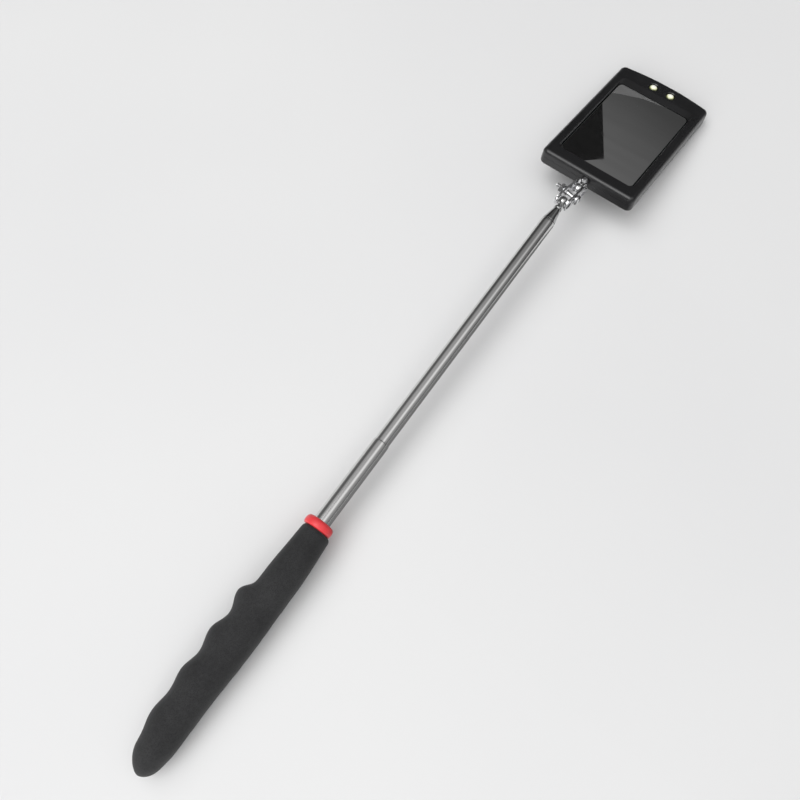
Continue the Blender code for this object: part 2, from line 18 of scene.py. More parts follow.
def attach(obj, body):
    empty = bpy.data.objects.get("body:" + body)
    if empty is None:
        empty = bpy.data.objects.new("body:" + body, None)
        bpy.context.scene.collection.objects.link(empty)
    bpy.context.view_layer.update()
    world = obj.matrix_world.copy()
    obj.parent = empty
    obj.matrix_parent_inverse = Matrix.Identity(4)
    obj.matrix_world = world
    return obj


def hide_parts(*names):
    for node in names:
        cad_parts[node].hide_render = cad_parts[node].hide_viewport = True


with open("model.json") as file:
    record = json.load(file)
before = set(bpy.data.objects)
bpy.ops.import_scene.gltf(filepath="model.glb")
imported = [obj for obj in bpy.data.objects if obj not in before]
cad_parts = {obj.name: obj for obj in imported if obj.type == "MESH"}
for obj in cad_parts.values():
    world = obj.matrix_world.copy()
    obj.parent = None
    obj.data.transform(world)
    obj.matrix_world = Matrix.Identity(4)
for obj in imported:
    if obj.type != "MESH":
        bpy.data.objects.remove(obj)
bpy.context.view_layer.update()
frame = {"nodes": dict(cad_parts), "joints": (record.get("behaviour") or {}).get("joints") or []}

MM = 0.001
joints = {joint["name"]: joint for joint in frame["joints"]}

# %% [markdown]
# ## Where things are
#
# Each group of pieces is easiest to model upright at the origin and then laid in place.
# Four frames do that: the mast, the link between the two balls, the stud of the head, and
# the head itself. Their directions are the directions of the joints, so a piece that is
# modelled about its own Z axis turns and slides truly when the tool moves.

# %% Frames of the tool
BALL_HEIGHT = 295.0
BALL_SPACING = 10.6
STUD_REACH = 7.0
HEAD_WIDTH, HEAD_LENGTH, HEAD_THICK = 50.0, 83.6, 8.0


def frame_at(origin, x_axis, z_axis):
    """A frame from its origin, roughly its X direction, and exactly its Z direction."""
    upright = Vector(z_axis).normalized()
    sideways = upright.cross(Vector(x_axis)).normalized()
    turn = Matrix((sideways.cross(upright), sideways, upright)).transposed()
    return Matrix.Translation(origin) @ turn.to_4x4()


def direction(name):
    return Vector(joints[name]["axis"])


lower_ball = Vector(joints["lower_ball_pitch"]["pos_m"])
upper_ball = Vector(joints["upper_ball_pitch"]["pos_m"])
along_mast, along_head = direction("tube_2_slide"), direction("head_twist")
across_head, head_up = direction("switch_travel"), -direction("battery_cover_lift")
MAST = frame_at(lower_ball - along_mast * BALL_HEIGHT * MM, (1, 0, 0), along_mast)
LINK = frame_at(lower_ball, direction("lower_ball_pitch"), upper_ball - lower_ball)
clamp_middle = Matrix.Translation((0, 0, BALL_SPACING / 2 * MM))
CLAMP = LINK @ clamp_middle @ Matrix.Rotation(radians(90), 4, "Y")
STUD = frame_at(upper_ball, across_head, along_head)
head_middle = upper_ball + along_head * (STUD_REACH + HEAD_LENGTH / 2) * MM
HEAD = frame_at(head_middle - head_up * HEAD_THICK / 2 * MM, across_head, head_up)
for title, frame_of in (("mast", MAST), ("head", HEAD)):
    print(title, "starts at", [round(part, 4) for part in frame_of.translation])

# %% [markdown]
# ## Tools for modelling
#
# Almost every metal piece here was turned on a lathe, so the first helper draws a circle
# and pulls ring after ring out of it, which is how such a piece is drawn by hand. The
# flat pieces start as a block whose edges are then chosen by their place and bevelled.

# %% Choosing and finishing
def choose(kind, test):
    """In edit mode, selects the points, edges or faces that pass a test."""
    bpy.ops.mesh.select_mode(type={"verts": "VERT", "edges": "EDGE", "faces": "FACE"}[kind])
    bpy.ops.mesh.select_all(action="DESELECT")
    mesh = bpy.context.object.data
    for item in getattr(bmesh.from_edit_mesh(mesh), kind):
        if test(item):
            item.select_set(True)
    bmesh.update_edit_mesh(mesh)


def ends(edge):
    """The two ends of an edge, in millimetres."""
    return [vert.co / MM for vert in edge.verts]


def apply_modifier(piece, kind, **settings):
    """Adds a modifier with its settings and applies it."""
    modifier = piece.modifiers.new(kind.lower(), kind)
    for name, value in settings.items():
        setattr(modifier, name, value)
    bpy.context.view_layer.objects.active = piece
    bpy.ops.object.modifier_apply(modifier=modifier.name)


def cut_or_join(piece, operation, others):
    """Cuts other pieces from this one, or joins them to it, and removes them."""
    for other in others:
        apply_modifier(piece, "BOOLEAN", operation=operation, solver="EXACT", object=other)
        bpy.data.objects.remove(other, do_unlink=True)


def soften_edges(piece, width, segments=2, angle=30):
    """Rounds every sharp edge by so many millimetres, since no real edge is sharp."""
    apply_modifier(piece, "BEVEL", width=width * MM, segments=segments, limit_method="ANGLE",
                   angle_limit=radians(angle), use_clamp_overlap=True, miter_outer="MITER_ARC")


def pick(piece):
    """Selects one piece and nothing else, because an operator acts on all that is selected."""
    bpy.ops.object.select_all(action="DESELECT")
    piece.select_set(True)
    bpy.context.view_layer.objects.active = piece


def shade(piece, angle=40):
    """Smooth shading that keeps flat faces flat."""
    pick(piece)
    bpy.ops.object.shade_smooth_by_angle(angle=radians(angle))
    apply_modifier(piece, "WEIGHTED_NORMAL", keep_sharp=True, weight=80)


def fit(piece, place, body, slot, materials, *nodes):
    """Lays a finished piece in its place, with its object at the origin, on its body."""
    pick(piece)
    piece.matrix_world = place
    bpy.ops.object.transform_apply(location=True, rotation=True, scale=True)
    piece.data.materials.clear()
    for material in materials:
        piece.data.materials.append(material)
    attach(piece, body)
    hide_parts(*nodes)
    size = [round(extent / MM, 2) for extent in piece.dimensions]
    print(f"{piece.name}: {size} mm, {len(piece.data.polygons)} faces")


# %% Rings and blocks
def pull_rings(name, rings, sides=96, joined=False):
    """A piece pulled ring by ring along Z. A ring is (radius, height), or (half width,
    half depth, middle, height) where it isn't round. `joined` closes a wall on itself."""
    rings = [ring if len(ring) == 4 else (ring[0], ring[0], 0.0, ring[1]) for ring in rings]
    wide, deep, middle, height = rings[0]
    bpy.ops.object.select_all(action="DESELECT")
    bpy.ops.mesh.primitive_circle_add(vertices=sides, radius=MM, location=(0, 0, 0))
    piece = bpy.context.object
    piece.name = piece.data.name = name
    bpy.ops.object.mode_set(mode="EDIT")
    bpy.ops.mesh.select_all(action="SELECT")
    bpy.ops.transform.resize(value=(wide, deep, 1), center_override=(0, 0, 0))
    bpy.ops.transform.translate(value=(middle * MM, 0, height * MM))
    for wider, deeper, beside, higher in rings[1:]:
        move = ((beside - middle) * MM, 0, (higher - height) * MM)
        bpy.ops.mesh.extrude_edges_move(TRANSFORM_OT_translate={"value": move})
        bpy.ops.transform.resize(value=(wider / wide, deeper / deep, 1),
                                 center_override=(beside * MM, 0, higher * MM))
        wide, deep, middle, height = wider, deeper, beside, higher
    bpy.ops.mesh.select_all(action="SELECT")
    if joined:
        bpy.ops.mesh.remove_doubles(threshold=1e-6)
    else:
        bpy.ops.mesh.fill_holes(sides=0)
    bpy.ops.mesh.select_all(action="SELECT")
    bpy.ops.mesh.normals_make_consistent(inside=False)
    bpy.ops.object.mode_set(mode="OBJECT")
    return piece


def block(name, size, middle, corner=0.0, steps=8, flare=None):
    """A block with round upright corners. `flare` widens its top along X and along Y, and
    then moves it along Y."""
    bpy.ops.object.select_all(action="DESELECT")
    bpy.ops.mesh.primitive_cube_add(size=MM, location=Vector(middle) * MM, scale=size)
    piece = bpy.context.object
    piece.name = piece.data.name = name
    bpy.ops.object.transform_apply(location=True, rotation=True, scale=True)
    bpy.ops.object.mode_set(mode="EDIT")
    if corner:
        choose("edges", lambda edge: (ends(edge)[0] - ends(edge)[1]).xy.length < 1e-4)
        bpy.ops.mesh.bevel(offset=corner * MM, segments=steps, profile=0.5, affect="EDGES")
    if flare:
        choose("faces", lambda face: face.normal.z > 0.9)
        grow = [1 + 2 * flare[0] / size[0], 1 + 2 * flare[1] / size[1], 1]
        bpy.ops.transform.resize(value=grow, center_override=Vector(middle) * MM)
        bpy.ops.transform.translate(value=(0, flare[2] * MM, 0))
    bpy.ops.object.mode_set(mode="OBJECT")
    return piece


def rod(name, radius, low, high, place=(0, 0), sides=48, top_radius=None):
    """An upright rod, or a cone where the top has its own radius, to cut with."""
    bpy.ops.object.select_all(action="DESELECT")
    bpy.ops.mesh.primitive_cone_add(
        vertices=sides, radius1=radius * MM, radius2=(top_radius or radius) * MM,
        depth=(high - low) * MM, location=Vector((*place, (low + high) / 2)) * MM)
    piece = bpy.context.object
    piece.name = piece.data.name = name
    bpy.ops.object.transform_apply(location=True, rotation=True, scale=True)
    return piece


def arc(middle, radius, first, last, steps=12):
    """Rings round a ball, from one angle to another, measured from its top."""
    turns = [radians(first + (last - first) * step / steps) for step in range(steps + 1)]
    return [(radius * sin(turn), middle + radius * cos(turn)) for turn in turns]

# %% [markdown]
# ## Finishes
#
# Each finish is a small network: coordinates of the piece, a few patterns at the scale of
# the real one, and a Principled shader. Colour, gloss and relief each have their own
# frame in the node editor. A plain number goes straight on the shader's socket.

# %% Starting a finish
def bare_material(name):
    """A new material with an empty node tree."""
    material = bpy.data.materials.new(name)
    material.use_nodes = True
    material.node_tree.nodes.clear()
    return material, material.node_tree.nodes, material.node_tree.links


def set_stops(ramp, stops):
    """Gives a colour ramp its stops, each a position and a colour."""
    for position, _ in stops[2:]:
        ramp.elements.new(position)
    for element, (position, colour) in zip(ramp.elements, stops):
        element.position = position
        element.color = (*colour, 1)


# %% [markdown]
# ## Plastic
#
# The head and the collar are moulded. Moulded plastic copies the fine grain of its mould,
# is polished where fingers hold it, and holds a few specks of dust. So the grain is a bump,
# the handling changes the gloss, and the specks lie over the colour.

# %% Moulded plastic
def moulded_plastic(name, dark, light, dull, grain, depth, specular=0.5):
    """Injection-moulded plastic. `dull` is its roughness, `grain` the fineness of the mould's
    grain in cycles a metre, and `depth` the height of that grain in millimetres."""
    material, nodes, links = bare_material(name)
    output = nodes.new("ShaderNodeOutputMaterial")
    output.label = "plastic surface"
    surface = nodes.new("ShaderNodeBsdfPrincipled")
    surface.label = "moulded plastic"
    place = nodes.new("ShaderNodeTexCoord")
    place.label = "place on the piece"
    flow = nodes.new("ShaderNodeTexNoise")
    flow.label = "faint flow marks"
    tone = nodes.new("ShaderNodeValToRGB")
    tone.label = "dark to light plastic"
    dust = nodes.new("ShaderNodeTexVoronoi")
    dust.label = "single specks of dust"
    speck = nodes.new("ShaderNodeMapRange")
    speck.label = "only the middle of a speck"
    dusted = nodes.new("ShaderNodeMix")
    dusted.label = "dust over plastic"
    handled = nodes.new("ShaderNodeTexNoise")
    handled.label = "where fingers polish it"
    gloss = nodes.new("ShaderNodeMapRange")
    gloss.label = "dull to satin"
    texture = nodes.new("ShaderNodeTexNoise")
    texture.label = "mould grain"
    relief = nodes.new("ShaderNodeBump")
    relief.label = "height of the grain"
    for node, x, y in ((place, -1300, 0), (flow, -1050, 350), (tone, -800, 350),
                       (dust, -1050, 80), (speck, -800, 80), (dusted, -500, 300),
                       (handled, -1050, -200), (gloss, -800, -200), (texture, -1050, -480),
                       (relief, -500, -480), (surface, -200, 0), (output, 150, 0)):
        node.location = (x, y)
    for label, members in (("colour", (flow, tone, dust, speck, dusted)),
                           ("gloss", (handled, gloss)), ("relief", (texture, relief))):
        group = nodes.new("NodeFrame")
        group.label = label
        for member in members:
            member.parent = group
    flow.inputs["Scale"].default_value = 90
    flow.inputs["Detail"].default_value = 5
    set_stops(tone.color_ramp, ((0.3, dark), (0.75, light)))
    dust.inputs["Scale"].default_value = 420
    speck.inputs["From Min"].default_value = 0.035
    speck.inputs["From Max"].default_value = 0.01
    speck.inputs["To Max"].default_value = 0.35
    dusted.data_type = "RGBA"
    dusted.inputs["B"].default_value = (0.3, 0.29, 0.27, 1)
    handled.inputs["Scale"].default_value = 60
    handled.inputs["Detail"].default_value = 6
    gloss.inputs["From Min"].default_value = 0.3
    gloss.inputs["From Max"].default_value = 0.7
    gloss.inputs["To Min"].default_value = dull + 0.07
    gloss.inputs["To Max"].default_value = dull - 0.07
    texture.inputs["Scale"].default_value = grain
    texture.inputs["Detail"].default_value = 3
    relief.inputs["Distance"].default_value = depth * MM
    relief.inputs["Strength"].default_value = 0.6
    surface.inputs["Specular IOR Level"].default_value = specular
    links.new(place.outputs["Object"], flow.inputs["Vector"])
    links.new(flow.outputs["Fac"], tone.inputs["Fac"])
    links.new(place.outputs["Object"], dust.inputs["Vector"])
    links.new(dust.outputs["Distance"], speck.inputs["Value"])
    links.new(speck.outputs["Result"], dusted.inputs["Factor"])
    links.new(tone.outputs["Color"], dusted.inputs["A"])
    links.new(dusted.outputs["Result"], surface.inputs["Base Color"])
    links.new(place.outputs["Object"], handled.inputs["Vector"])
    links.new(handled.outputs["Fac"], gloss.inputs["Value"])
    links.new(gloss.outputs["Result"], surface.inputs["Roughness"])
    links.new(place.outputs["Object"], texture.inputs["Vector"])
    links.new(texture.outputs["Fac"], relief.inputs["Height"])
    links.new(relief.outputs["Normal"], surface.inputs["Normal"])
    links.new(surface.outputs["BSDF"], output.inputs["Surface"])
    return material


black_plastic = moulded_plastic(
    "black_plastic", (0.006, 0.006, 0.0065), (0.01, 0.01, 0.011), 0.32, 5200, 0.03, specular=0.75)
grey_plastic = moulded_plastic(
    "grey_plastic", (0.24, 0.24, 0.25), (0.33, 0.33, 0.34), 0.5, 4200, 0.05)
red_plastic = moulded_plastic(
    "red_plastic", (0.7, 0.04, 0.05), (0.78, 0.06, 0.065), 0.3, 2600, 0.02)
print("three plastics")

# %% [markdown]
# ## Metal
#
# Drawn tube, plated screw and turned brass differ in colour, in gloss, and in the way
# that their fine lines run: along a drawn tube, but round a turned piece. One function
# makes them all, and takes the frame of the piece, so that a Mapping node can turn the
# pattern until its Z runs along the piece.

# %% Worked metal
def worked_metal(name, dark, light, dull, spread, frame_of, lines, depth, spots=0.15):
    """Metal with fine lines. `lines` is how fast the pattern changes across the piece and
    along it, in cycles a metre. `dull` plus or minus `spread` is its roughness."""
    material, nodes, links = bare_material(name)
    output = nodes.new("ShaderNodeOutputMaterial")
    output.label = "metal surface"
    surface = nodes.new("ShaderNodeBsdfPrincipled")
    surface.label = "bare or plated metal"
    place = nodes.new("ShaderNodeTexCoord")
    place.label = "place on the piece"
    turned = nodes.new("ShaderNodeMapping")
    turned.label = "Z along the piece"
    stretch = nodes.new("ShaderNodeMapping")
    stretch.label = "lines drawn out"
    line = nodes.new("ShaderNodeTexNoise")
    line.label = "fine working lines"
    cloud = nodes.new("ShaderNodeTexNoise")
    cloud.label = "patches of handling"
    tint = nodes.new("ShaderNodeMix")
    tint.label = "lines and patches together"
    tone = nodes.new("ShaderNodeValToRGB")
    tone.label = "dark to light metal"
    spot = nodes.new("ShaderNodeTexVoronoi")
    spot.label = "small dull spots"
    edge = nodes.new("ShaderNodeMapRange")
    edge.label = "only the middle of a spot"
    gloss = nodes.new("ShaderNodeMapRange")
    gloss.label = "polished to rubbed"
    rough = nodes.new("ShaderNodeMath")
    rough.label = "spots over the polish"
    relief = nodes.new("ShaderNodeBump")
    relief.label = "depth of the lines"
    for node, x, y in ((place, -1700, 0), (turned, -1480, 0), (stretch, -1250, 250),
                       (line, -1020, 250), (cloud, -1020, -20), (tint, -780, 150),
                       (tone, -520, 300), (spot, -1020, -300), (edge, -780, -300),
                       (gloss, -520, -50), (rough, -300, -150), (relief, -520, -400),
                       (surface, -60, 50), (output, 260, 50)):
        node.location = (x, y)
    for label, members in (("direction", (turned, stretch)), ("lines", (line, cloud, tint, tone)),
                           ("gloss", (spot, edge, gloss, rough)), ("relief", (relief,))):
        group = nodes.new("NodeFrame")
        group.label = label
        for member in members:
            member.parent = group
    turned.vector_type = "TEXTURE"
    turned.inputs["Location"].default_value = frame_of.translation
    turned.inputs["Rotation"].default_value = frame_of.to_euler()
    stretch.inputs["Scale"].default_value = (lines[0], lines[0], lines[1])
    line.inputs["Scale"].default_value = 1
    line.inputs["Detail"].default_value = 4
    cloud.inputs["Scale"].default_value = 130
    cloud.inputs["Detail"].default_value = 5
    tint.inputs["Factor"].default_value = 0.45
    set_stops(tone.color_ramp, ((0.32, dark), (0.68, light)))
    spot.inputs["Scale"].default_value = 900
    edge.inputs["From Min"].default_value = 0.12
    edge.inputs["From Max"].default_value = 0.04
    edge.inputs["To Max"].default_value = spots
    gloss.inputs["From Min"].default_value = 0.3
    gloss.inputs["From Max"].default_value = 0.7
    gloss.inputs["To Min"].default_value = max(dull - spread, 0.02)
    gloss.inputs["To Max"].default_value = dull + spread
    rough.operation = "ADD"
    relief.inputs["Distance"].default_value = depth * MM
    relief.inputs["Strength"].default_value = 0.5
    surface.inputs["Metallic"].default_value = 1.0
    links.new(place.outputs["Object"], turned.inputs["Vector"])
    links.new(turned.outputs["Vector"], stretch.inputs["Vector"])
    links.new(stretch.outputs["Vector"], line.inputs["Vector"])
    links.new(turned.outputs["Vector"], cloud.inputs["Vector"])
    links.new(turned.outputs["Vector"], spot.inputs["Vector"])
    links.new(line.outputs["Fac"], tint.inputs["A"])
    links.new(cloud.outputs["Fac"], tint.inputs["B"])
    links.new(tint.outputs["Result"], tone.inputs["Fac"])
    links.new(tone.outputs["Color"], surface.inputs["Base Color"])
    links.new(tint.outputs["Result"], gloss.inputs["Value"])
    links.new(spot.outputs["Distance"], edge.inputs["Value"])
    links.new(gloss.outputs["Result"], rough.inputs[0])
    links.new(edge.outputs["Result"], rough.inputs[1])
    links.new(rough.outputs["Value"], surface.inputs["Roughness"])
    links.new(line.outputs["Fac"], relief.inputs["Height"])
    links.new(relief.outputs["Normal"], surface.inputs["Normal"])
    links.new(surface.outputs["BSDF"], output.inputs["Surface"])
    return material


ALONG, ROUND = (1500, 14), (500, 6000)
drawn_steel = worked_metal(
    "drawn_steel", (0.66, 0.655, 0.65), (0.73, 0.725, 0.72), 0.15, 0.04, MAST, ALONG, 0.003, 0.08)
tip_steel = worked_metal(
    "tip_steel", (0.42, 0.42, 0.42), (0.54, 0.54, 0.54), 0.14, 0.04, MAST, ROUND, 0.004)
chrome_link = worked_metal(
    "chrome_link", (0.72, 0.72, 0.73), (0.82, 0.82, 0.83), 0.05, 0.025, CLAMP, (900, 900), 0.003)
chrome_stud = worked_metal(
    "chrome_stud", (0.72, 0.72, 0.73), (0.82, 0.82, 0.83), 0.05, 0.025, STUD, ROUND, 0.003)
zinc_plate = worked_metal(
    "zinc_plate", (0.46, 0.47, 0.49), (0.6, 0.61, 0.62), 0.3, 0.08, HEAD, (1400, 1400), 0.01, 0.25)
turned_brass = worked_metal(
    "turned_brass", (0.6, 0.4, 0.15), (0.74, 0.54, 0.24), 0.28, 0.06, MAST, ROUND, 0.01)
cell_nickel = worked_metal(
    "cell_nickel", (0.6, 0.59, 0.56), (0.72, 0.71, 0.69), 0.25, 0.06, HEAD, (1800, 1800), 0.006)
print("seven metals")

# %% [markdown]
# ## Foam
#
# The grip is a closed-cell foam that was moulded in one piece. Its skin is dull and has
# fine pores, it holds a little dust, and it is slightly greyer where light catches the
# fuzz of the skin. The pad under the glass is the same stuff in a pale colour.

# %% Moulded foam
def moulded_foam(name, dark, light, pore_size, fuzz):
    """Closed-cell foam: pores, a soft unevenness, and a dull fuzzy skin."""
    material, nodes, links = bare_material(name)
    output = nodes.new("ShaderNodeOutputMaterial")
    output.label = "foam surface"
    surface = nodes.new("ShaderNodeBsdfPrincipled")
    surface.label = "dull foam skin"
    place = nodes.new("ShaderNodeTexCoord")
    place.label = "place on the piece"
    pores = nodes.new("ShaderNodeTexVoronoi")
    pores.label = "cells of the foam"
    pit = nodes.new("ShaderNodeMapRange")
    pit.label = "open pits"
    mottle = nodes.new("ShaderNodeTexNoise")
    mottle.label = "uneven skin"
    wear = nodes.new("ShaderNodeTexNoise")
    wear.label = "rubbed patches"
    mixed = nodes.new("ShaderNodeMix")
    mixed.label = "skin and rubbing"
    tone = nodes.new("ShaderNodeValToRGB")
    tone.label = "black to dark grey"
    shadowed = nodes.new("ShaderNodeMix")
    shadowed.label = "pits are darker"
    gloss = nodes.new("ShaderNodeMapRange")
    gloss.label = "dull to very dull"
    small = nodes.new("ShaderNodeBump")
    small.label = "depth of the pits"
    wide = nodes.new("ShaderNodeBump")
    wide.label = "soft unevenness"
    for node, x, y in ((place, -1500, 0), (pores, -1250, -150), (pit, -1020, -150),
                       (mottle, -1250, 200), (wear, -1250, 480), (mixed, -1020, 350),
                       (tone, -790, 350), (shadowed, -480, 250), (gloss, -790, 50),
                       (wide, -790, -450), (small, -480, -350), (surface, -180, 0),
                       (output, 150, 0)):
        node.location = (x, y)
    for label, members in (("colour", (wear, mixed, tone, shadowed)), ("cells", (pores, pit)),
                           ("gloss", (mottle, gloss)), ("relief", (wide, small))):
        group = nodes.new("NodeFrame")
        group.label = label
        for member in members:
            member.parent = group
    pores.inputs["Scale"].default_value = 1000 / pore_size
    pit.inputs["From Min"].default_value = 0.1
    pit.inputs["From Max"].default_value = 0.45
    mottle.inputs["Scale"].default_value = 700
    mottle.inputs["Detail"].default_value = 6
    wear.inputs["Scale"].default_value = 55
    wear.inputs["Detail"].default_value = 4
    mixed.inputs["Factor"].default_value = 0.5
    set_stops(tone.color_ramp, ((0.35, dark), (0.68, light)))
    shadowed.data_type = "RGBA"
    shadowed.inputs["A"].default_value = (*(0.6 * part for part in dark), 1)
    gloss.inputs["To Min"].default_value = 0.72
    gloss.inputs["To Max"].default_value = 0.92
    wide.inputs["Distance"].default_value = 0.08 * MM
    wide.inputs["Strength"].default_value = 0.6
    small.inputs["Distance"].default_value = 0.06 * MM
    small.inputs["Strength"].default_value = 0.5
    surface.inputs["Specular IOR Level"].default_value = 0.35
    surface.inputs["Sheen Weight"].default_value = fuzz
    surface.inputs["Sheen Roughness"].default_value = 0.5
    links.new(place.outputs["Object"], pores.inputs["Vector"])
    links.new(place.outputs["Object"], mottle.inputs["Vector"])
    links.new(place.outputs["Object"], wear.inputs["Vector"])
    links.new(pores.outputs["Distance"], pit.inputs["Value"])
    links.new(mottle.outputs["Fac"], mixed.inputs["A"])
    links.new(wear.outputs["Fac"], mixed.inputs["B"])
    links.new(mixed.outputs["Result"], tone.inputs["Fac"])
    links.new(pit.outputs["Result"], shadowed.inputs["Factor"])
    links.new(tone.outputs["Color"], shadowed.inputs["B"])
    links.new(shadowed.outputs["Result"], surface.inputs["Base Color"])
    links.new(mottle.outputs["Fac"], gloss.inputs["Value"])
    links.new(gloss.outputs["Result"], surface.inputs["Roughness"])
    links.new(mottle.outputs["Fac"], wide.inputs["Height"])
    links.new(pit.outputs["Result"], small.inputs["Height"])
    links.new(wide.outputs["Normal"], small.inputs["Normal"])
    links.new(small.outputs["Normal"], surface.inputs["Normal"])
    links.new(surface.outputs["BSDF"], output.inputs["Surface"])
    return material


black_foam = moulded_foam("black_foam", (0.018, 0.018, 0.019), (0.036, 0.036, 0.037), 0.45, 0.08)
pale_foam = moulded_foam("pale_foam", (0.6, 0.58, 0.52), (0.78, 0.76, 0.7), 0.7, 0.1)
print("two foams")

# %% [markdown]
# ## Glass and lamps
#
# The mirror is silver seen through a clean glass face, so it is nearly a perfect metal
# with a few faint wipe marks. Its ground edge is dull and dark, and its bevel towards the
# lamps is a lighter grey, a painted highlight. A lamp is a drop of clear resin over a yellow
# phosphor: white in the middle and greener towards its rim, and its outer edge is painted
# nearly black, a painted shade where it sits down in its hole. The distance from the lamp's
# own axis is stored on the mesh, which drives that change.

# %% Silvered glass
def silvered_glass():
    """Silver behind clear glass, with wipe marks and a little dust."""
    material, nodes, links = bare_material("silvered_glass")
    output = nodes.new("ShaderNodeOutputMaterial")
    output.label = "mirror surface"
    surface = nodes.new("ShaderNodeBsdfPrincipled")
    surface.label = "silver behind glass"
    place = nodes.new("ShaderNodeTexCoord")
    place.label = "place on the glass"
    wiped = nodes.new("ShaderNodeMapping")
    wiped.label = "wiped across the corner"
    wipe = nodes.new("ShaderNodeTexNoise")
    wipe.label = "wipe marks"
    dust = nodes.new("ShaderNodeTexVoronoi")
    dust.label = "grains of dust"
    grain = nodes.new("ShaderNodeMapRange")
    grain.label = "only the middle of a grain"
    film = nodes.new("ShaderNodeMapRange")
    film.label = "clean to smeared"
    rough = nodes.new("ShaderNodeMath")
    rough.label = "dust on the film"
    tone = nodes.new("ShaderNodeValToRGB")
    tone.label = "silver seen through the film"
    for node, x, y in ((place, -1300, 0), (wiped, -1080, 150), (wipe, -850, 150),
                       (dust, -1080, -150), (grain, -850, -150), (film, -600, 0),
                       (rough, -380, -80), (tone, -600, 300), (surface, -120, 60),
                       (output, 200, 60)):
        node.location = (x, y)
    for label, members in (("wiping", (wiped, wipe, film)), ("dust", (dust, grain, rough)),
                           ("colour", (tone,))):
        group = nodes.new("NodeFrame")
        group.label = label
        for member in members:
            member.parent = group
    wiped.inputs["Rotation"].default_value = (0, 0, radians(35))
    wiped.inputs["Scale"].default_value = (12, 140, 60)
    wipe.inputs["Scale"].default_value = 1
    wipe.inputs["Detail"].default_value = 5
    dust.inputs["Scale"].default_value = 330
    grain.inputs["From Min"].default_value = 0.05
    grain.inputs["From Max"].default_value = 0.02
    grain.inputs["To Max"].default_value = 0.3
    film.inputs["From Min"].default_value = 0.45
    film.inputs["From Max"].default_value = 0.8
    film.inputs["To Min"].default_value = 0.0
    film.inputs["To Max"].default_value = 0.035
    rough.operation = "ADD"
    set_stops(tone.color_ramp, ((0.4, (0.88, 0.88, 0.88)), (0.85, (0.8, 0.8, 0.8))))
    surface.inputs["Metallic"].default_value = 1.0
    links.new(place.outputs["Object"], wiped.inputs["Vector"])
    links.new(wiped.outputs["Vector"], wipe.inputs["Vector"])
    links.new(place.outputs["Object"], dust.inputs["Vector"])
    links.new(dust.outputs["Distance"], grain.inputs["Value"])
    links.new(wipe.outputs["Fac"], film.inputs["Value"])
    links.new(film.outputs["Result"], rough.inputs[0])
    links.new(grain.outputs["Result"], rough.inputs[1])
    links.new(rough.outputs["Value"], surface.inputs["Roughness"])
    links.new(wipe.outputs["Fac"], tone.inputs["Fac"])
    links.new(tone.outputs["Color"], surface.inputs["Base Color"])
    links.new(surface.outputs["BSDF"], output.inputs["Surface"])
    return material


# %% Lamp resin and printed board
def banded(name, label, stops, pattern, scale, dull, coat, glow=0.0):
    """A finish whose colour runs through several stops, along a stored value of the mesh
    called `pattern`, or over soft patches where it has none."""
    material, nodes, links = bare_material(name)
    output = nodes.new("ShaderNodeOutputMaterial")
    output.label = label
    surface = nodes.new("ShaderNodeBsdfPrincipled")
    surface.label = label
    place = nodes.new("ShaderNodeTexCoord")
    place.label = "place on the piece"
    stored = nodes.new("ShaderNodeAttribute")
    stored.label = "value stored on the mesh"
    patch = nodes.new("ShaderNodeTexNoise")
    patch.label = "soft patches"
    offset = nodes.new("ShaderNodeMath")
    offset.label = "patches about zero"
    share = nodes.new("ShaderNodeMath")
    share.label = "value with its patches"
    tone = nodes.new("ShaderNodeValToRGB")
    tone.label = "colour along the value"
    gloss = nodes.new("ShaderNodeMapRange")
    gloss.label = "patches of gloss"
    relief = nodes.new("ShaderNodeBump")
    relief.label = "slight waviness"
    for node, x, y in ((place, -1250, -100), (stored, -1020, 250), (patch, -1020, -100),
                       (offset, -800, 0), (share, -600, 200), (tone, -400, 250),
                       (gloss, -400, -60), (relief, -400, -320), (surface, -80, 50),
                       (output, 240, 50)):
        node.location = (x, y)
    for title, members in (("colour", (stored, offset, share, tone)), ("gloss", (gloss,)),
                           ("relief", (relief,))):
        group = nodes.new("NodeFrame")
        group.label = title
        for member in members:
            member.parent = group
    stored.attribute_name = pattern
    patch.inputs["Scale"].default_value = scale
    patch.inputs["Detail"].default_value = 3
    offset.operation = "MULTIPLY_ADD"
    offset.inputs[1].default_value = 0.3
    offset.inputs[2].default_value = -0.15
    share.operation = "ADD"
    set_stops(tone.color_ramp, stops)
    gloss.inputs["To Min"].default_value = dull
    gloss.inputs["To Max"].default_value = dull + 0.1
    relief.inputs["Distance"].default_value = 0.02 * MM
    relief.inputs["Strength"].default_value = 0.3
    surface.inputs["Coat Weight"].default_value = coat
    surface.inputs["Emission Strength"].default_value = glow
    links.new(place.outputs["Object"], patch.inputs["Vector"])
    links.new(patch.outputs["Fac"], offset.inputs[0])
    links.new(offset.outputs["Value"], share.inputs[0])
    links.new(stored.outputs["Fac"], share.inputs[1])
    links.new(share.outputs["Value"], tone.inputs["Fac"])
    links.new(tone.outputs["Color"], surface.inputs["Base Color"])
    links.new(tone.outputs["Color"], surface.inputs["Emission Color"])
    links.new(patch.outputs["Fac"], gloss.inputs["Value"])
    links.new(gloss.outputs["Result"], surface.inputs["Roughness"])
    links.new(patch.outputs["Fac"], relief.inputs["Height"])
    links.new(relief.outputs["Normal"], surface.inputs["Normal"])
    links.new(surface.outputs["BSDF"], output.inputs["Surface"])
    return material


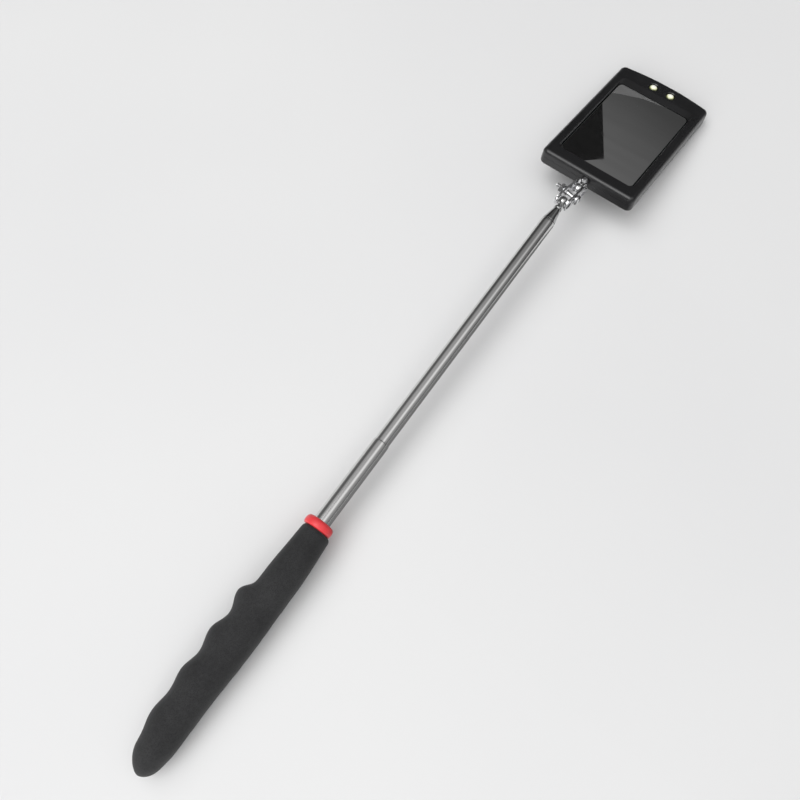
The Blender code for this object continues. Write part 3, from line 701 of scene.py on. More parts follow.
mirror_silver = silvered_glass()
# White and green are the lamp's own colours; the last, nearly black stop is painted shade on its
# outer edge, where it sits down in its hole.
LAMP_TONES_AND_EDGE_SHADE = ((0.0, (0.97, 0.97, 0.9)), (0.5, (0.93, 0.93, 0.82)), (0.78, (0.7, 0.72, 0.45)),
              (0.95, (0.16, 0.17, 0.08)))
lamp_resin = banded("lamp_resin", "resin over phosphor", LAMP_TONES_AND_EDGE_SHADE, "rim", 400, 0.12, 1.0, 0.15)
EDGE_STOPS = ((0.0, (0.03, 0.033, 0.032)), (0.15, (0.07, 0.075, 0.073)))
ground_edge = banded("ground_edge", "ground glass edge", EDGE_STOPS, "edge", 900, 0.45, 0.0)
# A lighter grey on the bevel that faces the lamps: a painted highlight along that edge of the
# glass.
BEVEL_HIGHLIGHT_STOPS = ((0.0, (0.12, 0.122, 0.12)), (0.15, (0.18, 0.183, 0.18)))
polished_bevel = banded(
    "polished_bevel", "painted highlight on the glass bevel", BEVEL_HIGHLIGHT_STOPS, "edge", 900, 0.3, 0.0)
BOARD_STOPS = ((0.0, (0.02, 0.12, 0.05)), (0.15, (0.06, 0.26, 0.12)))
green_board = banded("green_board", "solder mask", BOARD_STOPS, "copper", 300, 0.3, 0.6)
print("glass, resin and board")

# %% [markdown]
# ## The grip
#
# The grip is a foam sleeve with four finger ridges on one side, a butt that tapers to a
# small round tip beside the axis, and a front end that narrows to the collar. Its side view
# is known, so each ring gets a half width, a half depth and a middle: the ridges widen a
# ring and push it to one side. A subdivision surface then rounds it, and a very small
# displacement takes away the machined look.

# %% Shape of the grip
GRIP_BUTT, GRIP_LENGTH, GRIP_HALF = -1.8, 108.0, 8.8
WAIST_DROP, FRONT_DROP = 0.5, 1.7
RIDGE_COUNT, FIRST_RIDGE, RIDGE_PITCH = 4, 18.4, 17.7
FIRST_RISE, LAST_RISE, RIDGE_BASE = 0.8, 3.1, 0.55
HEEL_DROP, NECK_DROP, MOUTH_DROP, PALM_DROP = 1.5, 1.3, 0.4, 1.05
GRIP_OFFSET = 0.45
BUTT_LENGTH, BUTT_SHIFT = 16.0, 1.7
FRONT_FILLET = ((107.1, 0.15), (107.55, 0.42), (107.85, 0.8), (108.0, 1.3))
BORE = 4.05


def ease(low, high, value):
    """0 below `low`, 1 above `high`, and a smooth step between."""
    share = min(max((value - low) / (high - low), 0.0), 1.0)
    return share * share * (3 - 2 * share)


def fullness(height, span):
    """How full the grip is near its butt: 0 at the very end, and 1 from `span` on."""
    nose = min(1.0, max(height - GRIP_BUTT, 0.0) / span)
    return (1 - (1 - nose) ** 2.6) ** 0.62


def grip_ring(height):
    """Half width, half depth, middle and height of one ring of the grip."""
    plain = GRIP_HALF - WAIST_DROP * ease(40, 84, height)
    plain -= FRONT_DROP * ease(84, GRIP_LENGTH + 8, height)
    last = FIRST_RIDGE + RIDGE_PITCH * (RIDGE_COUNT - 1)
    along = min(max((height - FIRST_RIDGE) / (last - FIRST_RIDGE), 0.0), 1.0)
    rise = FIRST_RISE + (LAST_RISE - FIRST_RISE) * along
    wave = 0.5 + 0.5 * cos(2 * pi * (height - FIRST_RIDGE) / RIDGE_PITCH)
    ridged = 1 - ease(last + 2, last + 7, height)
    left = plain + (rise * wave - RIDGE_BASE) * ridged - HEEL_DROP * (1 - ease(8, 19, height))
    left -= NECK_DROP * (1 - ridged) - MOUTH_DROP * ease(90, GRIP_LENGTH, height) + GRIP_OFFSET
    right = plain + GRIP_OFFSET - PALM_DROP * (1 - ease(28, 62, height))
    full = fullness(height, BUTT_LENGTH)
    shift = BUTT_SHIFT * (1 - ease(GRIP_BUTT, 8, height))
    deep = plain - MOUTH_DROP * ease(70, GRIP_LENGTH, height)
    deep *= fullness(height, BUTT_LENGTH - 3)
    return (left + right) / 2 * full, deep, (right - left) / 2 * full + shift, height


def grip_rings():
    """All the rings: close together at the butt, over the front edge, and back in the bore."""
    butt_end, front = GRIP_BUTT + 13, 106.6
    heights = [GRIP_BUTT + 13 * (step / 14) ** 2 for step in range(1, 14)]
    heights += [butt_end + (front - butt_end) * step / 54 for step in range(55)]
    rings = [grip_ring(height) for height in heights]
    for height, smaller in FRONT_FILLET:
        wide, deep, middle, _ = grip_ring(height)
        rings.append((wide - smaller, deep - smaller, middle, height))
    return rings + [(BORE, BORE, 0.0, height) for height in (107.98, 107.0, 7.0, 6.0)]


print(len(grip_rings()), "rings in the grip")

# %% Make the grip
grip = pull_rings("foam_grip", grip_rings(), sides=32)
apply_modifier(grip, "SUBSURF", levels=2, render_levels=2)
unevenness = bpy.data.textures.new("foam_unevenness", "CLOUDS")
unevenness.noise_scale = 6 * MM
unevenness.noise_depth = 2
apply_modifier(grip, "DISPLACE", texture=unevenness, strength=0.16 * MM, mid_level=0.5)
shade(grip, 60)
fit(grip, MAST, "handle", "foam_black", [black_foam], "grip")

# %% [markdown]
# ## The collar and the tubes
#
# A red plastic ring closes the front of the grip. It bulges a little and its front edge is
# well rounded. The tubes are thin: each has an outer wall, an inner wall, and a mouth that
# is rolled in to keep the next tube from coming out. Both are rings that end where they
# began, so that the wall closes on itself.

# %% Collar
COLLAR_LOW, COLLAR_HIGH = 108.05, 112.1
collar_rings = [
    (3.8, COLLAR_LOW), (5.5, COLLAR_LOW), (5.78, COLLAR_LOW + 0.06), (6.02, COLLAR_LOW + 0.25),
    (6.2, COLLAR_LOW + 0.6), (6.32, COLLAR_LOW + 1.1), (6.36, COLLAR_LOW + 1.7),
    (6.33, COLLAR_LOW + 2.3), (6.22, COLLAR_LOW + 2.85), (6.03, COLLAR_HIGH - 0.75),
    (5.78, COLLAR_HIGH - 0.42), (5.45, COLLAR_HIGH - 0.16), (5.1, COLLAR_HIGH - 0.04),
    (4.8, COLLAR_HIGH), (4.1, COLLAR_HIGH), (3.95, COLLAR_HIGH - 0.06),
    (3.85, COLLAR_HIGH - 0.2), (3.8, COLLAR_HIGH - 0.5), (3.8, COLLAR_LOW),
]
collar = pull_rings("grip_collar", collar_rings, sides=128, joined=True)
shade(collar, 50)
fit(collar, MAST, "handle", "plastic_red", [red_plastic], "red_collar")

# %% Tubes
MAST_TOP = 282.0
TUBE_WALL = 0.2
tube_table = [  # outer radius, foot, mouth, body
    (3.7, 8.3, 153.0, "handle"),
    (3.375, 141.0, MAST_TOP, "section_2"),
    (3.05, 147.0, MAST_TOP, "section_3"),
    (2.725, 153.0, MAST_TOP, "section_4"),
]
for number, (outer, foot, mouth, body) in enumerate(tube_table, 1):
    inner = outer - TUBE_WALL
    rings = [
        (inner, foot), (outer - 0.03, foot), (outer, foot + 0.04), (outer, mouth - 1.3),
        (outer - 0.012, mouth - 0.8), (outer - 0.04, mouth - 0.4), (outer - 0.08, mouth - 0.16),
        (outer - 0.14, mouth - 0.03), (outer - 0.2, mouth), (inner - 0.04, mouth - 0.02),
        (inner - 0.05, mouth - 0.15), (inner - 0.03, mouth - 0.6), (inner, mouth - 1.3),
        (inner, foot),
    ]
    tube = pull_rings(f"steel_tube_{number}", rings, joined=True)
    shade(tube, 40)
    fit(tube, MAST, body, "steel_satin", [drawn_steel], f"tube_{number}")

# %% [markdown]
# ## The knuckle
#
# The last tube ends in a turned plug: a shoulder, a long cone, a bead, a thin neck and a
# ball. The head has a second ball on its own stud. Two stamped plates hold both balls, and
# a screw between the balls pulls the plates together. The plates are blocks with round
# ends, cut for the balls and the screw, with a pressed rim round each seat that flares
# outwards.

# %% Ball studs
BALL_RADIUS = 2.6
SHOULDER = MAST_TOP + 0.3
PLUG = ((1.9, -8), (2.375, -7.4), (2.375, 0))
CONE = ((3.1, 0), (3.18, 0.08), (3.2, 0.25), (3.18, 0.5), (3.1, 0.9), (3.0, 1.4), (2.84, 2.2),
        (2.6, 3.4), (2.34, 4.8), (2.08, 6.0), (1.86, 6.9), (1.7, 7.4))
BEAD = ((1.72, 7.5), (1.88, 7.62), (1.96, 7.85), (1.98, 8.2), (1.95, 8.5), (1.84, 8.75),
        (1.6, 8.88))
NECK = ((1.34, 9.0), (1.28, 9.3), (1.28, 9.8))
tip_rings = [(radius, SHOULDER + rise) for radius, rise in PLUG + CONE + BEAD + NECK]
tip = pull_rings("tip_with_ball", tip_rings + arc(BALL_HEIGHT, BALL_RADIUS, 150, 6, 28), sides=64)
shade(tip, 35)
fit(tip, MAST, "section_4", "chrome", [tip_steel], "tip_ball_stud")

stud_rings = arc(0, BALL_RADIUS, 174, 30, 28) + [
    (1.26, 2.7), (1.25, 3.3), (1.27, 3.9), (1.36, 4.25), (1.6, 4.45), (2.1, 4.62),
    (2.24, 4.7), (2.3, 4.86), (2.3, 6.5), (2.25, 6.64), (2.12, 6.7), (1.5, 6.7),
    (1.5, 14.1), (1.2, 14.4),
]
stud = pull_rings("head_ball_stud", stud_rings, sides=64)
shade(stud, 35)
fit(stud, STUD, "ball_stud", "chrome", [chrome_stud], "upper_ball_stud")

# %% Clamp plates
PLATE_INNER, PLATE_THICK, PLATE_LONG, PLATE_WIDE = 2.2, 0.9, 16.2, 6.4
PLATE_OUTER = PLATE_INNER + PLATE_THICK
SEATS = (-BALL_SPACING / 2, BALL_SPACING / 2)
SEAT_RADIUS, SCREW_HOLE = 1.7, 1.5
SEAT_RIM = ((1.5, -0.3), (2.75, -0.3), (2.75, 0.02), (2.45, 0.18), (2.1, 0.22), (1.5, 0.22))
for name, side in (("left", -1), ("right", 1)):
    middle = side * (PLATE_INNER + PLATE_THICK / 2)
    plate = block(f"knuckle_plate_{name}", (PLATE_LONG, PLATE_WIDE, PLATE_THICK), (0, 0, middle),
                  corner=2.9, steps=14)
    for seat in SEATS:
        rim = pull_rings("rim", [(radius, PLATE_OUTER + rise) for radius, rise in SEAT_RIM], 48)
        on_seat = Matrix.Translation((seat * MM, 0, 0)) @ Matrix.Diagonal((1, 1, side, 1))
        rim.data.transform(on_seat)
        if side < 0:
            rim.data.flip_normals()
        cut_or_join(plate, "UNION", [rim])
    holes = [rod("seat", SEAT_RADIUS, -0.8, 0.8, (seat, 0)) for seat in SEATS]
    holes.append(rod("screw_hole", SCREW_HOLE, -0.8, 0.8))
    for hole in holes:
        hole.data.transform(Matrix.Translation((0, 0, middle * MM)))
    cut_or_join(plate, "DIFFERENCE", holes)
    soften_edges(plate, 0.12, 3)
    shade(plate, 40)
    fit(plate, CLAMP, "knuckle", "chrome", [chrome_link], f"clamp_plate_{name}")

# %% [markdown]
# ## The clamp screw, its washer and its nut
#
# The screw has a pan head with a slot on the right, and its threaded end stands out of the
# nut on the left. The thread is cut by moving the points of a finely ringed shank: how
# far a point lies along the screw and round it says whether it is on a crest or in a root.

# %% Screw with a real thread
def cut_thread(piece, low, high, pitch, crest, depth):
    """Moves the points of a shank along Z in and out, as a cut thread does."""
    for vert in piece.data.vertices:
        point = vert.co / MM
        if low <= point.z <= high and point.xy.length > 0.5 * crest:
            turns = point.z / pitch - Vector((1, 0)).angle_signed(point.xy, 0) / (2 * pi)
            fade = ease(low, low + pitch, point.z) * (1 - ease(high - pitch, high, point.z))
            valley = 1 - abs(2 * (turns % 1) - 1)
            vert.co.xy = vert.co.xy * ((crest - depth * valley * fade) / point.xy.length)


SHANK, THREAD_LOW, THREAD_HIGH, THREAD_PITCH = 1.2, -8.1, -2.95, 0.5
HEAD_FACE, HEAD_RISE = PLATE_OUTER + 0.3, 1.7
PAN_HEAD = ((SHANK, 0), (2.3, 0), (2.4, 0.05), (2.45, 0.2), (2.43, 0.6), (2.33, 0.95), (2.1, 1.28),
            (1.75, 1.5), (1.2, 1.64), (0.6, HEAD_RISE), (0.2, HEAD_RISE))
screw_rings = [(0.7, -8.4), (0.9, -8.38), (1.05, -8.25)]
screw_rings += [(SHANK, THREAD_LOW + 0.07 * step) for step in range(75)]
screw_rings += [(radius, HEAD_FACE + rise) for radius, rise in PAN_HEAD]
screw = pull_rings("pan_head_screw", screw_rings, sides=48)
cut_thread(screw, THREAD_LOW, THREAD_HIGH, THREAD_PITCH, SHANK, 0.16)
cut_or_join(screw, "DIFFERENCE", [block("slot", (0.6, 6, 1.6), (0, 0, HEAD_FACE + HEAD_RISE))])
shade(screw, 35)
fit(screw, CLAMP, "knuckle", "chrome", [chrome_link], "clamp_screw")

# %% Split washer and nut
washer_rings = [(1.5, -4.0), (2.12, -4.0), (2.2, -3.93), (2.2, -3.47), (2.12, -3.4), (1.5, -3.4),
                (1.5, -4.0)]
washer = pull_rings("split_washer", washer_rings, sides=64, joined=True)
gap = block("gap", (3, 0.3, 2), (1.9, 0, -3.7))
gap.data.transform(Matrix.Rotation(radians(62), 4, "Z"))
cut_or_join(washer, "DIFFERENCE", [gap])
shade(washer, 35)
fit(washer, CLAMP, "knuckle", "zinc", [zinc_plate], "clamp_washer")

NUT_LOW, NUT_HIGH, NUT_BORE = -6.0, -4.3, 1.35
nut = rod("hexagon_nut", 2.55, NUT_LOW, NUT_HIGH, sides=6)
nut.data.transform(Matrix.Rotation(radians(22), 4, "Z"))
chamfer_rings = [(2.1, NUT_LOW), (2.6, NUT_LOW + 0.28), (2.6, NUT_HIGH - 0.28), (2.1, NUT_HIGH)]
cut_or_join(nut, "INTERSECT", [pull_rings("chamfer", chamfer_rings)])
bore = rod("bore", NUT_BORE, NUT_LOW - 1, NUT_HIGH + 1)
mouth = rod("mouth", 1.7, NUT_LOW - 0.1, NUT_LOW + 0.25, top_radius=NUT_BORE)
cut_or_join(nut, "DIFFERENCE", [bore, mouth])
soften_edges(nut, 0.06, 2)
shade(nut, 35)
fit(nut, CLAMP, "knuckle", "chrome", [chrome_link], "clamp_nut")

# %% [markdown]
# ## The two halves of the head
#
# The head is a thick plastic frame on a shallow tray. Both have the same outline: a
# rectangle with round corners whose lamp end bows out. So both start from one slab, which
# is a block cut into columns, with the end of each column moved out along the bow. The
# outer rim is rounded, and the hollows are cut with blocks and rods.

# %% The slab that both halves start from
HEAD_BOW, HEAD_CORNER = 2.0, 3.0
WALL, FLOOR, SPLIT, SEAM = 1.8, 1.3, 4.0, 0.05
GLASS_WIDE, GLASS_LONG, GLASS_MIDDLE = 39.0, 62.6, -2.9
GLASS_FOOT, GLASS_FACE = 5.75, 7.05
LAMP_X, LAMP_Y, LAMP_WAY = 4.85, 36.8, 2.5
CELL_X, CELL_Y, SWITCH_Y = 10.6, 3.0, -24.0
SCREW_PLACES = [(x, y) for y in (-36.6, 36.6) for x in (-20.6, 20.6)]
DOOR_WIDE, DOOR_LONG = 45.0, 24.0
BOW_COLUMNS = 10


def head_slab(name, low, high, inset=0.0, rim=0.0, rim_height=0.0):
    """A slab with the outline of the head, and a rounded rim at one height."""
    wide, long = HEAD_WIDTH - 2 * inset, HEAD_LENGTH - 2 * inset
    corner = HEAD_CORNER - 0.6 * inset
    slab = block(name, (wide, long, high - low), (0, 0, (low + high) / 2), corner, 12)
    span = wide / 2 - corner
    columns = range(1 - BOW_COLUMNS, BOW_COLUMNS)
    bpy.ops.object.mode_set(mode="EDIT")
    for column in columns:
        bpy.ops.mesh.select_all(action="SELECT")
        across = span * column / BOW_COLUMNS
        bpy.ops.mesh.bisect(plane_co=(across * MM, 0, 0), plane_no=(1, 0, 0))
    for column in columns:
        across = span * column / BOW_COLUMNS
        choose("verts", lambda vert: abs(vert.co.x / MM - across) < 0.01
               and vert.co.y / MM > long / 2 - 0.01)
        bow = 0.98 * HEAD_BOW * (1 - (column / BOW_COLUMNS) ** 2)
        bpy.ops.transform.translate(value=(0, bow * MM, 0))
    bpy.ops.mesh.select_all(action="SELECT")
    bpy.ops.mesh.dissolve_limited(angle_limit=radians(0.3))
    if rim:
        choose("edges", lambda edge: all(abs(end.z - rim_height) < 1e-3 for end in ends(edge)))
        bpy.ops.mesh.bevel(offset=rim * MM, segments=12, profile=0.5, affect="EDGES")
    bpy.ops.object.mode_set(mode="OBJECT")
    return slab


def stud_way():
    """The round way for the stud of the head, through the end wall."""
    way = rod("stud_way", 1.8, -HEAD_LENGTH / 2 - 2, -HEAD_LENGTH / 2 + 9)
    way.data.transform(Matrix.Rotation(radians(-90), 4, "X"))
    way.data.transform(Matrix.Translation((0, 0, SPLIT * MM)))
    return way


def clip_space():
    """The room that the clip on the stud turns in."""
    return block("clip_space", (6.2, 1.6, 6), (0, -HEAD_LENGTH / 2 + 5.6, 4.1))


# %% Front frame
low = SPLIT + SEAM
bezel = head_slab("front_frame", low, HEAD_THICK, rim=2.1, rim_height=HEAD_THICK)
pocket = block("pocket", (GLASS_WIDE + 0.9, GLASS_LONG + 0.9, 3), (0, GLASS_MIDDLE, 6.55),
               corner=2.9)
recess = block("recess", (GLASS_WIDE + 0.5, GLASS_LONG + 0.5, 1.15), (0, GLASS_MIDDLE, 7.65),
               corner=2.7, flare=(0.9, 2.6, 2.2))
cutters = [pocket, recess, block("lamp_space", (24, 7.4, 4.6), (0, LAMP_Y - 0.4, low)),
           clip_space(), stud_way()]
for side in (-1, 1):
    place = (side * LAMP_X, LAMP_Y)
    cutters.append(rod("lamp_hole", LAMP_WAY, low - 1, 9, place))
    cutters.append(rod("lamp_mouth", LAMP_WAY, HEAD_THICK - 0.35, HEAD_THICK + 0.25, place,
                       top_radius=3.2))
cutters += [rod("pilot", 1.1, low - 1, HEAD_THICK - 1.2, place, 24) for place in SCREW_PLACES]
cut_or_join(bezel, "DIFFERENCE", cutters)
soften_edges(bezel, 0.14, 2, 20)
shade(bezel, 10)
fit(bezel, HEAD, "head", "plastic_black", [black_plastic], "front_bezel")

# %% Rear tray
top = SPLIT - SEAM
tray = head_slab("rear_tray", 0, top, rim=1.0, rim_height=0.0)
cut_or_join(tray, "DIFFERENCE", [head_slab("hollow", FLOOR, top + 2, inset=WALL)])
posts = [rod("boss", 2.9, FLOOR - 0.6, top - 0.05, place, 32) for place in SCREW_PLACES]
posts.append(block("stud_block", (9, 8, 3.1), (0, -HEAD_LENGTH / 2 + WALL + 3.5, 2.25)))
cut_or_join(tray, "UNION", posts)
cutters = [
    block("opening", (DOOR_WIDE - 1.4, DOOR_LONG - 1.4, 6), (0, CELL_Y, 0)),
    block("ledge", (DOOR_WIDE + 0.6, DOOR_LONG + 0.6, 1.6), (0, CELL_Y, 0), corner=0.7, steps=4),
    block("switch_recess", (12, 6, 1.6), (0, SWITCH_Y, 0), corner=0.8, steps=5),
    block("switch_slot", (5.4, 2.6, 6), (0, SWITCH_Y, 0)), clip_space(), stud_way(),
]
for place in SCREW_PLACES:
    cutters.append(rod("screw_head", 2.2, -1, 1.3, place))
    cutters.append(rod("screw_mouth", 2.5, -0.2, 0.25, place, top_radius=2.2))
    cutters.append(rod("screw_hole", 1.1, 0, 9, place, 24))
cut_or_join(tray, "DIFFERENCE", cutters)
soften_edges(tray, 0.12, 2, 28)
shade(tray, 40)
fit(tray, HEAD, "head", "plastic_black", [black_plastic], "rear_housing")

# %% [markdown]
# ## Glass, lamps and what the battery door hides
#
# The glass is a plate with round corners. Its sides and its narrow bevel are ground, apart
# from the bevel that faces the lamps, which is painted a lighter grey as a painted highlight.
# A lamp is a low dome on a flange. Under the battery door lie two coin cells, with a step
# round the top of each, so that they look right when the door is lifted off.

# %% Mirror glass
glass_size = (GLASS_WIDE, GLASS_LONG, GLASS_FACE - GLASS_FOOT)
glass_middle = (0, GLASS_MIDDLE, (GLASS_FOOT + GLASS_FACE) / 2)
glass = block("mirror_plate", glass_size, glass_middle, corner=2.6, steps=12)
bpy.ops.object.mode_set(mode="EDIT")
for height, offset, segments in ((GLASS_FACE, 0.3, 2), (GLASS_FOOT, 0.12, 1)):
    choose("edges", lambda edge: all(abs(end.z - height) < 1e-3 for end in ends(edge)))
    bpy.ops.mesh.bevel(offset=offset * MM, segments=segments, profile=0.5, affect="EDGES")
bpy.ops.object.mode_set(mode="OBJECT")
shade(glass, 25)
fit(glass, HEAD, "head", "mirror", [mirror_silver, ground_edge, polished_bevel], "mirror_glass")
# Bevel faces towards the lamps get the painted highlight; the top face gets the silver, and every
# other face the dark ground edge.
for face in glass.data.polygons:
    facing_lamps = face.normal.dot(along_head) > 0.3 and face.normal.dot(head_up) > 0.3
    face.material_index = 2 if facing_lamps else int(face.normal.dot(head_up) < 0.99)

# %% Lamps
LAMP_RADIUS, DOME_FOOT, DOME_RISE = 2.05, 7.2, 1.1
lamp_rings = [(2.35, 5.5), (2.35, 6.2), (2.2, 6.25), (LAMP_RADIUS, 6.6), (LAMP_RADIUS, DOME_FOOT)]
lamp_rings += [(LAMP_RADIUS * cos(radians(turn)), DOME_FOOT + DOME_RISE * sin(radians(turn)))
               for turn in range(8, 88, 8)]
lamp_rings.append((0.06, DOME_FOOT + DOME_RISE))
for name, side in (("left", -1), ("right", 1)):
    lamp = pull_rings(f"lamp_dome_{name}", lamp_rings, sides=48)
    rim = lamp.data.attributes.new("rim", "FLOAT", "POINT")
    from_axis = [vert.co.xy.length / MM / LAMP_RADIUS for vert in lamp.data.vertices]
    rim.data.foreach_set("value", from_axis)
    shade(lamp, 50)
    place = HEAD @ Matrix.Translation((side * LAMP_X * MM, LAMP_Y * MM, 0))
    fit(lamp, place, "head", "lamp_resin", [lamp_resin], f"lamp_{name}")

# %% Coin cells
CELL_BASE = FLOOR - 0.1
CELL_SIDE = ((9.7, 0), (9.9, 0.05), (10, 0.2), (10, 1.05), (9.93, 1.2), (9.75, 1.33), (9.3, 1.4),
             (8.85, 1.4), (8.75, 1.38), (8.7, 1.42), (8.62, 1.57), (8.5, 1.6))
cell_rings = [(radius, CELL_BASE + rise) for radius, rise in CELL_SIDE]
for name, side in (("left", -1), ("right", 1)):
    cell = pull_rings(f"button_cell_{name}", cell_rings)
    shade(cell, 30)
    place = HEAD @ Matrix.Translation((side * CELL_X * MM, CELL_Y * MM, 0))
    fit(cell, place, "head", "cell_steel", [cell_nickel], f"coin_cell_{name}")

# %% [markdown]
# ## The small pieces on the back
#
# The battery door is a stepped plate with a nail groove, the switch has a ridged knob, and
# four cross-head screws hold the halves together. They are small, but they are what the
# back of the head shows.

# %% Battery door
DOOR_THICK, DOOR_EDGE = 0.55, CELL_Y + DOOR_LONG / 2
door = block("battery_cover", (DOOR_WIDE, DOOR_LONG, DOOR_THICK), (0, CELL_Y, DOOR_THICK / 2),
             corner=0.6, steps=4)
step_size = (DOOR_WIDE - 2.6, DOOR_LONG - 2.6, 0.7)
cut_or_join(door, "UNION", [block("step", step_size, (0, CELL_Y, 0.6))])
grooves = [block("nail_groove", (12, 1.2, 0.6), (0, DOOR_EDGE - 3, 0), corner=0.5, steps=4)]
for line in range(4):
    line_size = (9 - 1.6 * line, 0.35, 0.3)
    grooves.append(block("grip_line", line_size, (0, DOOR_EDGE - 4.6 - 0.9 * line, 0)))
cut_or_join(door, "DIFFERENCE", grooves)
soften_edges(door, 0.07, 2)
shade(door, 40)
fit(door, HEAD, "battery_cover", "plastic_black", [black_plastic], "battery_door")

# %% Switch knob
KNOB_OFF = -1.0
knob = block("slide_knob", (4.6, 4.4, 0.5), (0, 0, 0.5), corner=0.3, steps=3)
cut_or_join(knob, "UNION", [block("stem", (2.6, 1.8, 0.9), (0, 0, 0.95))])
ridges = [block("groove", (0.3, 6, 0.28), (0.75 * step, 0, 0.25)) for step in range(-2, 3)]
cut_or_join(knob, "DIFFERENCE", ridges)
soften_edges(knob, 0.05, 2)
shade(knob, 40)
knob_place = HEAD @ Matrix.Translation((KNOB_OFF * MM, SWITCH_Y * MM, 0))
fit(knob, knob_place, "switch", "plastic_grey", [grey_plastic], "switch_knob")

# %% Housing screws
SCREW_NODES = ("screw_stem_left", "screw_stem_right", "screw_lamp_left", "screw_lamp_right")
CORE = 0.8
cross_rings = [(0.75, 0.2), (1.15, 0.24), (1.45, 0.34), (1.7, 0.5), (1.85, 0.68), (1.85, 1.0),
               (CORE, 1.0)]
cross_rings += [(CORE, 1.1 + 0.1 * step) for step in range(42)] + [(0.55, 6.1), (0.12, 6.3)]
for number, (node, (x, y)) in enumerate(zip(SCREW_NODES, SCREW_PLACES)):
    small = pull_rings(f"cross_{node}", cross_rings, sides=32)
    cut_thread(small, 1.1, 5.2, 0.6, CORE, 0.14)
    bars = [block("drive", size, (0, 0, 0.1), flare=(-0.12, -0.12, 0))
            for size in ((2.2, 0.42, 0.9), (0.42, 2.2, 0.9))]
    for bar in bars:
        bar.data.transform(Matrix.Rotation(radians(20 + 25 * number), 4, "Z"))
    cut_or_join(small, "DIFFERENCE", bars)
    shade(small, 35)
    fit(small, HEAD @ Matrix.Translation((x * MM, y * MM, 0)), "head", "zinc", [zinc_plate], node)

# %% [markdown]
# ## Pieces kept from the model
#
# The sleeves, the plug in the grip, the ring on the stud, the foam pad, the board, the
# contacts and the switch can are hidden or nearly so, and their shapes are right already.
# They only get their real finishes.

# %% Finishes for the kept pieces
kept = {
    turned_brass: ("tube_2_sleeve", "tube_3_sleeve", "tube_4_sleeve", "contact_left",
                   "contact_right", "contact_bridge"),
    zinc_plate: ("tube_1_foot_plug", "stud_clip", "switch_body"),
    pale_foam: ("mirror_pad",),
    green_board: ("lamp_board",),
}
for material, names in kept.items():
    for name in names:
        node = frame["nodes"][name]
        node.data.materials.clear()
        node.data.materials.append(material)
print(sum(len(names) for names in kept.values()), "pieces kept from the model")

# %% [markdown]
# ## The table and the camera
#
# The tool lies on a pale matte table, as for a catalogue. The camera looks down at it with
# a normal lens, and the tool lies across the corner of the view. The camera is placed by
# its position and two of its directions, and the third follows from them.

# %% Table top
def flat_finish(name, dark, light, scale, dull):
    """A matte painted board with faint clouds of tone and a very fine tooth."""
    material, nodes, links = bare_material(name)
    output = nodes.new("ShaderNodeOutputMaterial")
    output.label = "board surface"
    surface = nodes.new("ShaderNodeBsdfPrincipled")
    surface.label = "matte board"
    place = nodes.new("ShaderNodeTexCoord")
    place.label = "place on the board"
    cloud = nodes.new("ShaderNodeTexNoise")
    cloud.label = "faint clouds"
    tone = nodes.new("ShaderNodeValToRGB")
    tone.label = "slightly darker and lighter"
    tooth = nodes.new("ShaderNodeTexNoise")
    tooth.label = "fine tooth"
    relief = nodes.new("ShaderNodeBump")
    relief.label = "height of the tooth"
    for node, x, y in ((place, -900, 0), (cloud, -680, 200), (tone, -440, 200),
                       (tooth, -680, -200), (relief, -440, -200), (surface, -120, 0),
                       (output, 200, 0)):
        node.location = (x, y)
    for label, members in (("colour", (cloud, tone)), ("relief", (tooth, relief))):
        group = nodes.new("NodeFrame")
        group.label = label
        for member in members:
            member.parent = group
    cloud.inputs["Scale"].default_value = scale
    cloud.inputs["Detail"].default_value = 2
    set_stops(tone.color_ramp, ((0.3, dark), (0.7, light)))
    tooth.inputs["Scale"].default_value = 1500
    relief.inputs["Distance"].default_value = 0.02 * MM
    relief.inputs["Strength"].default_value = 0.3
    surface.inputs["Roughness"].default_value = dull
    surface.inputs["Specular IOR Level"].default_value = 0.25
    links.new(place.outputs["Object"], cloud.inputs["Vector"])
    links.new(cloud.outputs["Fac"], tone.inputs["Fac"])
    links.new(tone.outputs["Color"], surface.inputs["Base Color"])
    links.new(place.outputs["Object"], tooth.inputs["Vector"])
    links.new(tooth.outputs["Fac"], relief.inputs["Height"])
    links.new(relief.outputs["Normal"], surface.inputs["Normal"])
    links.new(surface.outputs["BSDF"], output.inputs["Surface"])
    return material


bpy.ops.object.select_all(action="DESELECT")
bpy.ops.mesh.primitive_plane_add(size=8, location=(0, 0, 0))
table = bpy.context.object
table.name = "table_top"
pale_board = flat_finish("pale_board", (0.7, 0.7, 0.704), (0.73, 0.73, 0.73), 4, 0.7)
table.data.materials.append(pale_board)
print("table", [round(side, 1) for side in table.dimensions.xy], "m")

# %% Camera
CAMERA_PLACE = Vector((0.07359, -0.14221, 0.35832))
CAMERA_RIGHT = Vector((0.81384, 0.58104, 0.00717))
CAMERA_BACK = Vector((0.21801, -0.31676, 0.92311))
camera_data = bpy.data.cameras.new("camera")
camera_data.sensor_width = 36.0
camera_data.lens = 39.545
camera_data.clip_start = 0.01
camera = bpy.data.objects.new("camera", camera_data)
bpy.context.scene.collection.objects.link(camera)
camera_up = CAMERA_BACK.cross(CAMERA_RIGHT).normalized()
turn = Matrix((CAMERA_RIGHT, camera_up, CAMERA_BACK)).transposed()
camera.matrix_world = Matrix.Translation(CAMERA_PLACE) @ turn.to_4x4()
bpy.context.scene.camera = camera
bpy.context.scene.view_settings.view_transform = "Standard"
print("camera", round((CAMERA_PLACE - head_middle).length, 3), "m from the head")

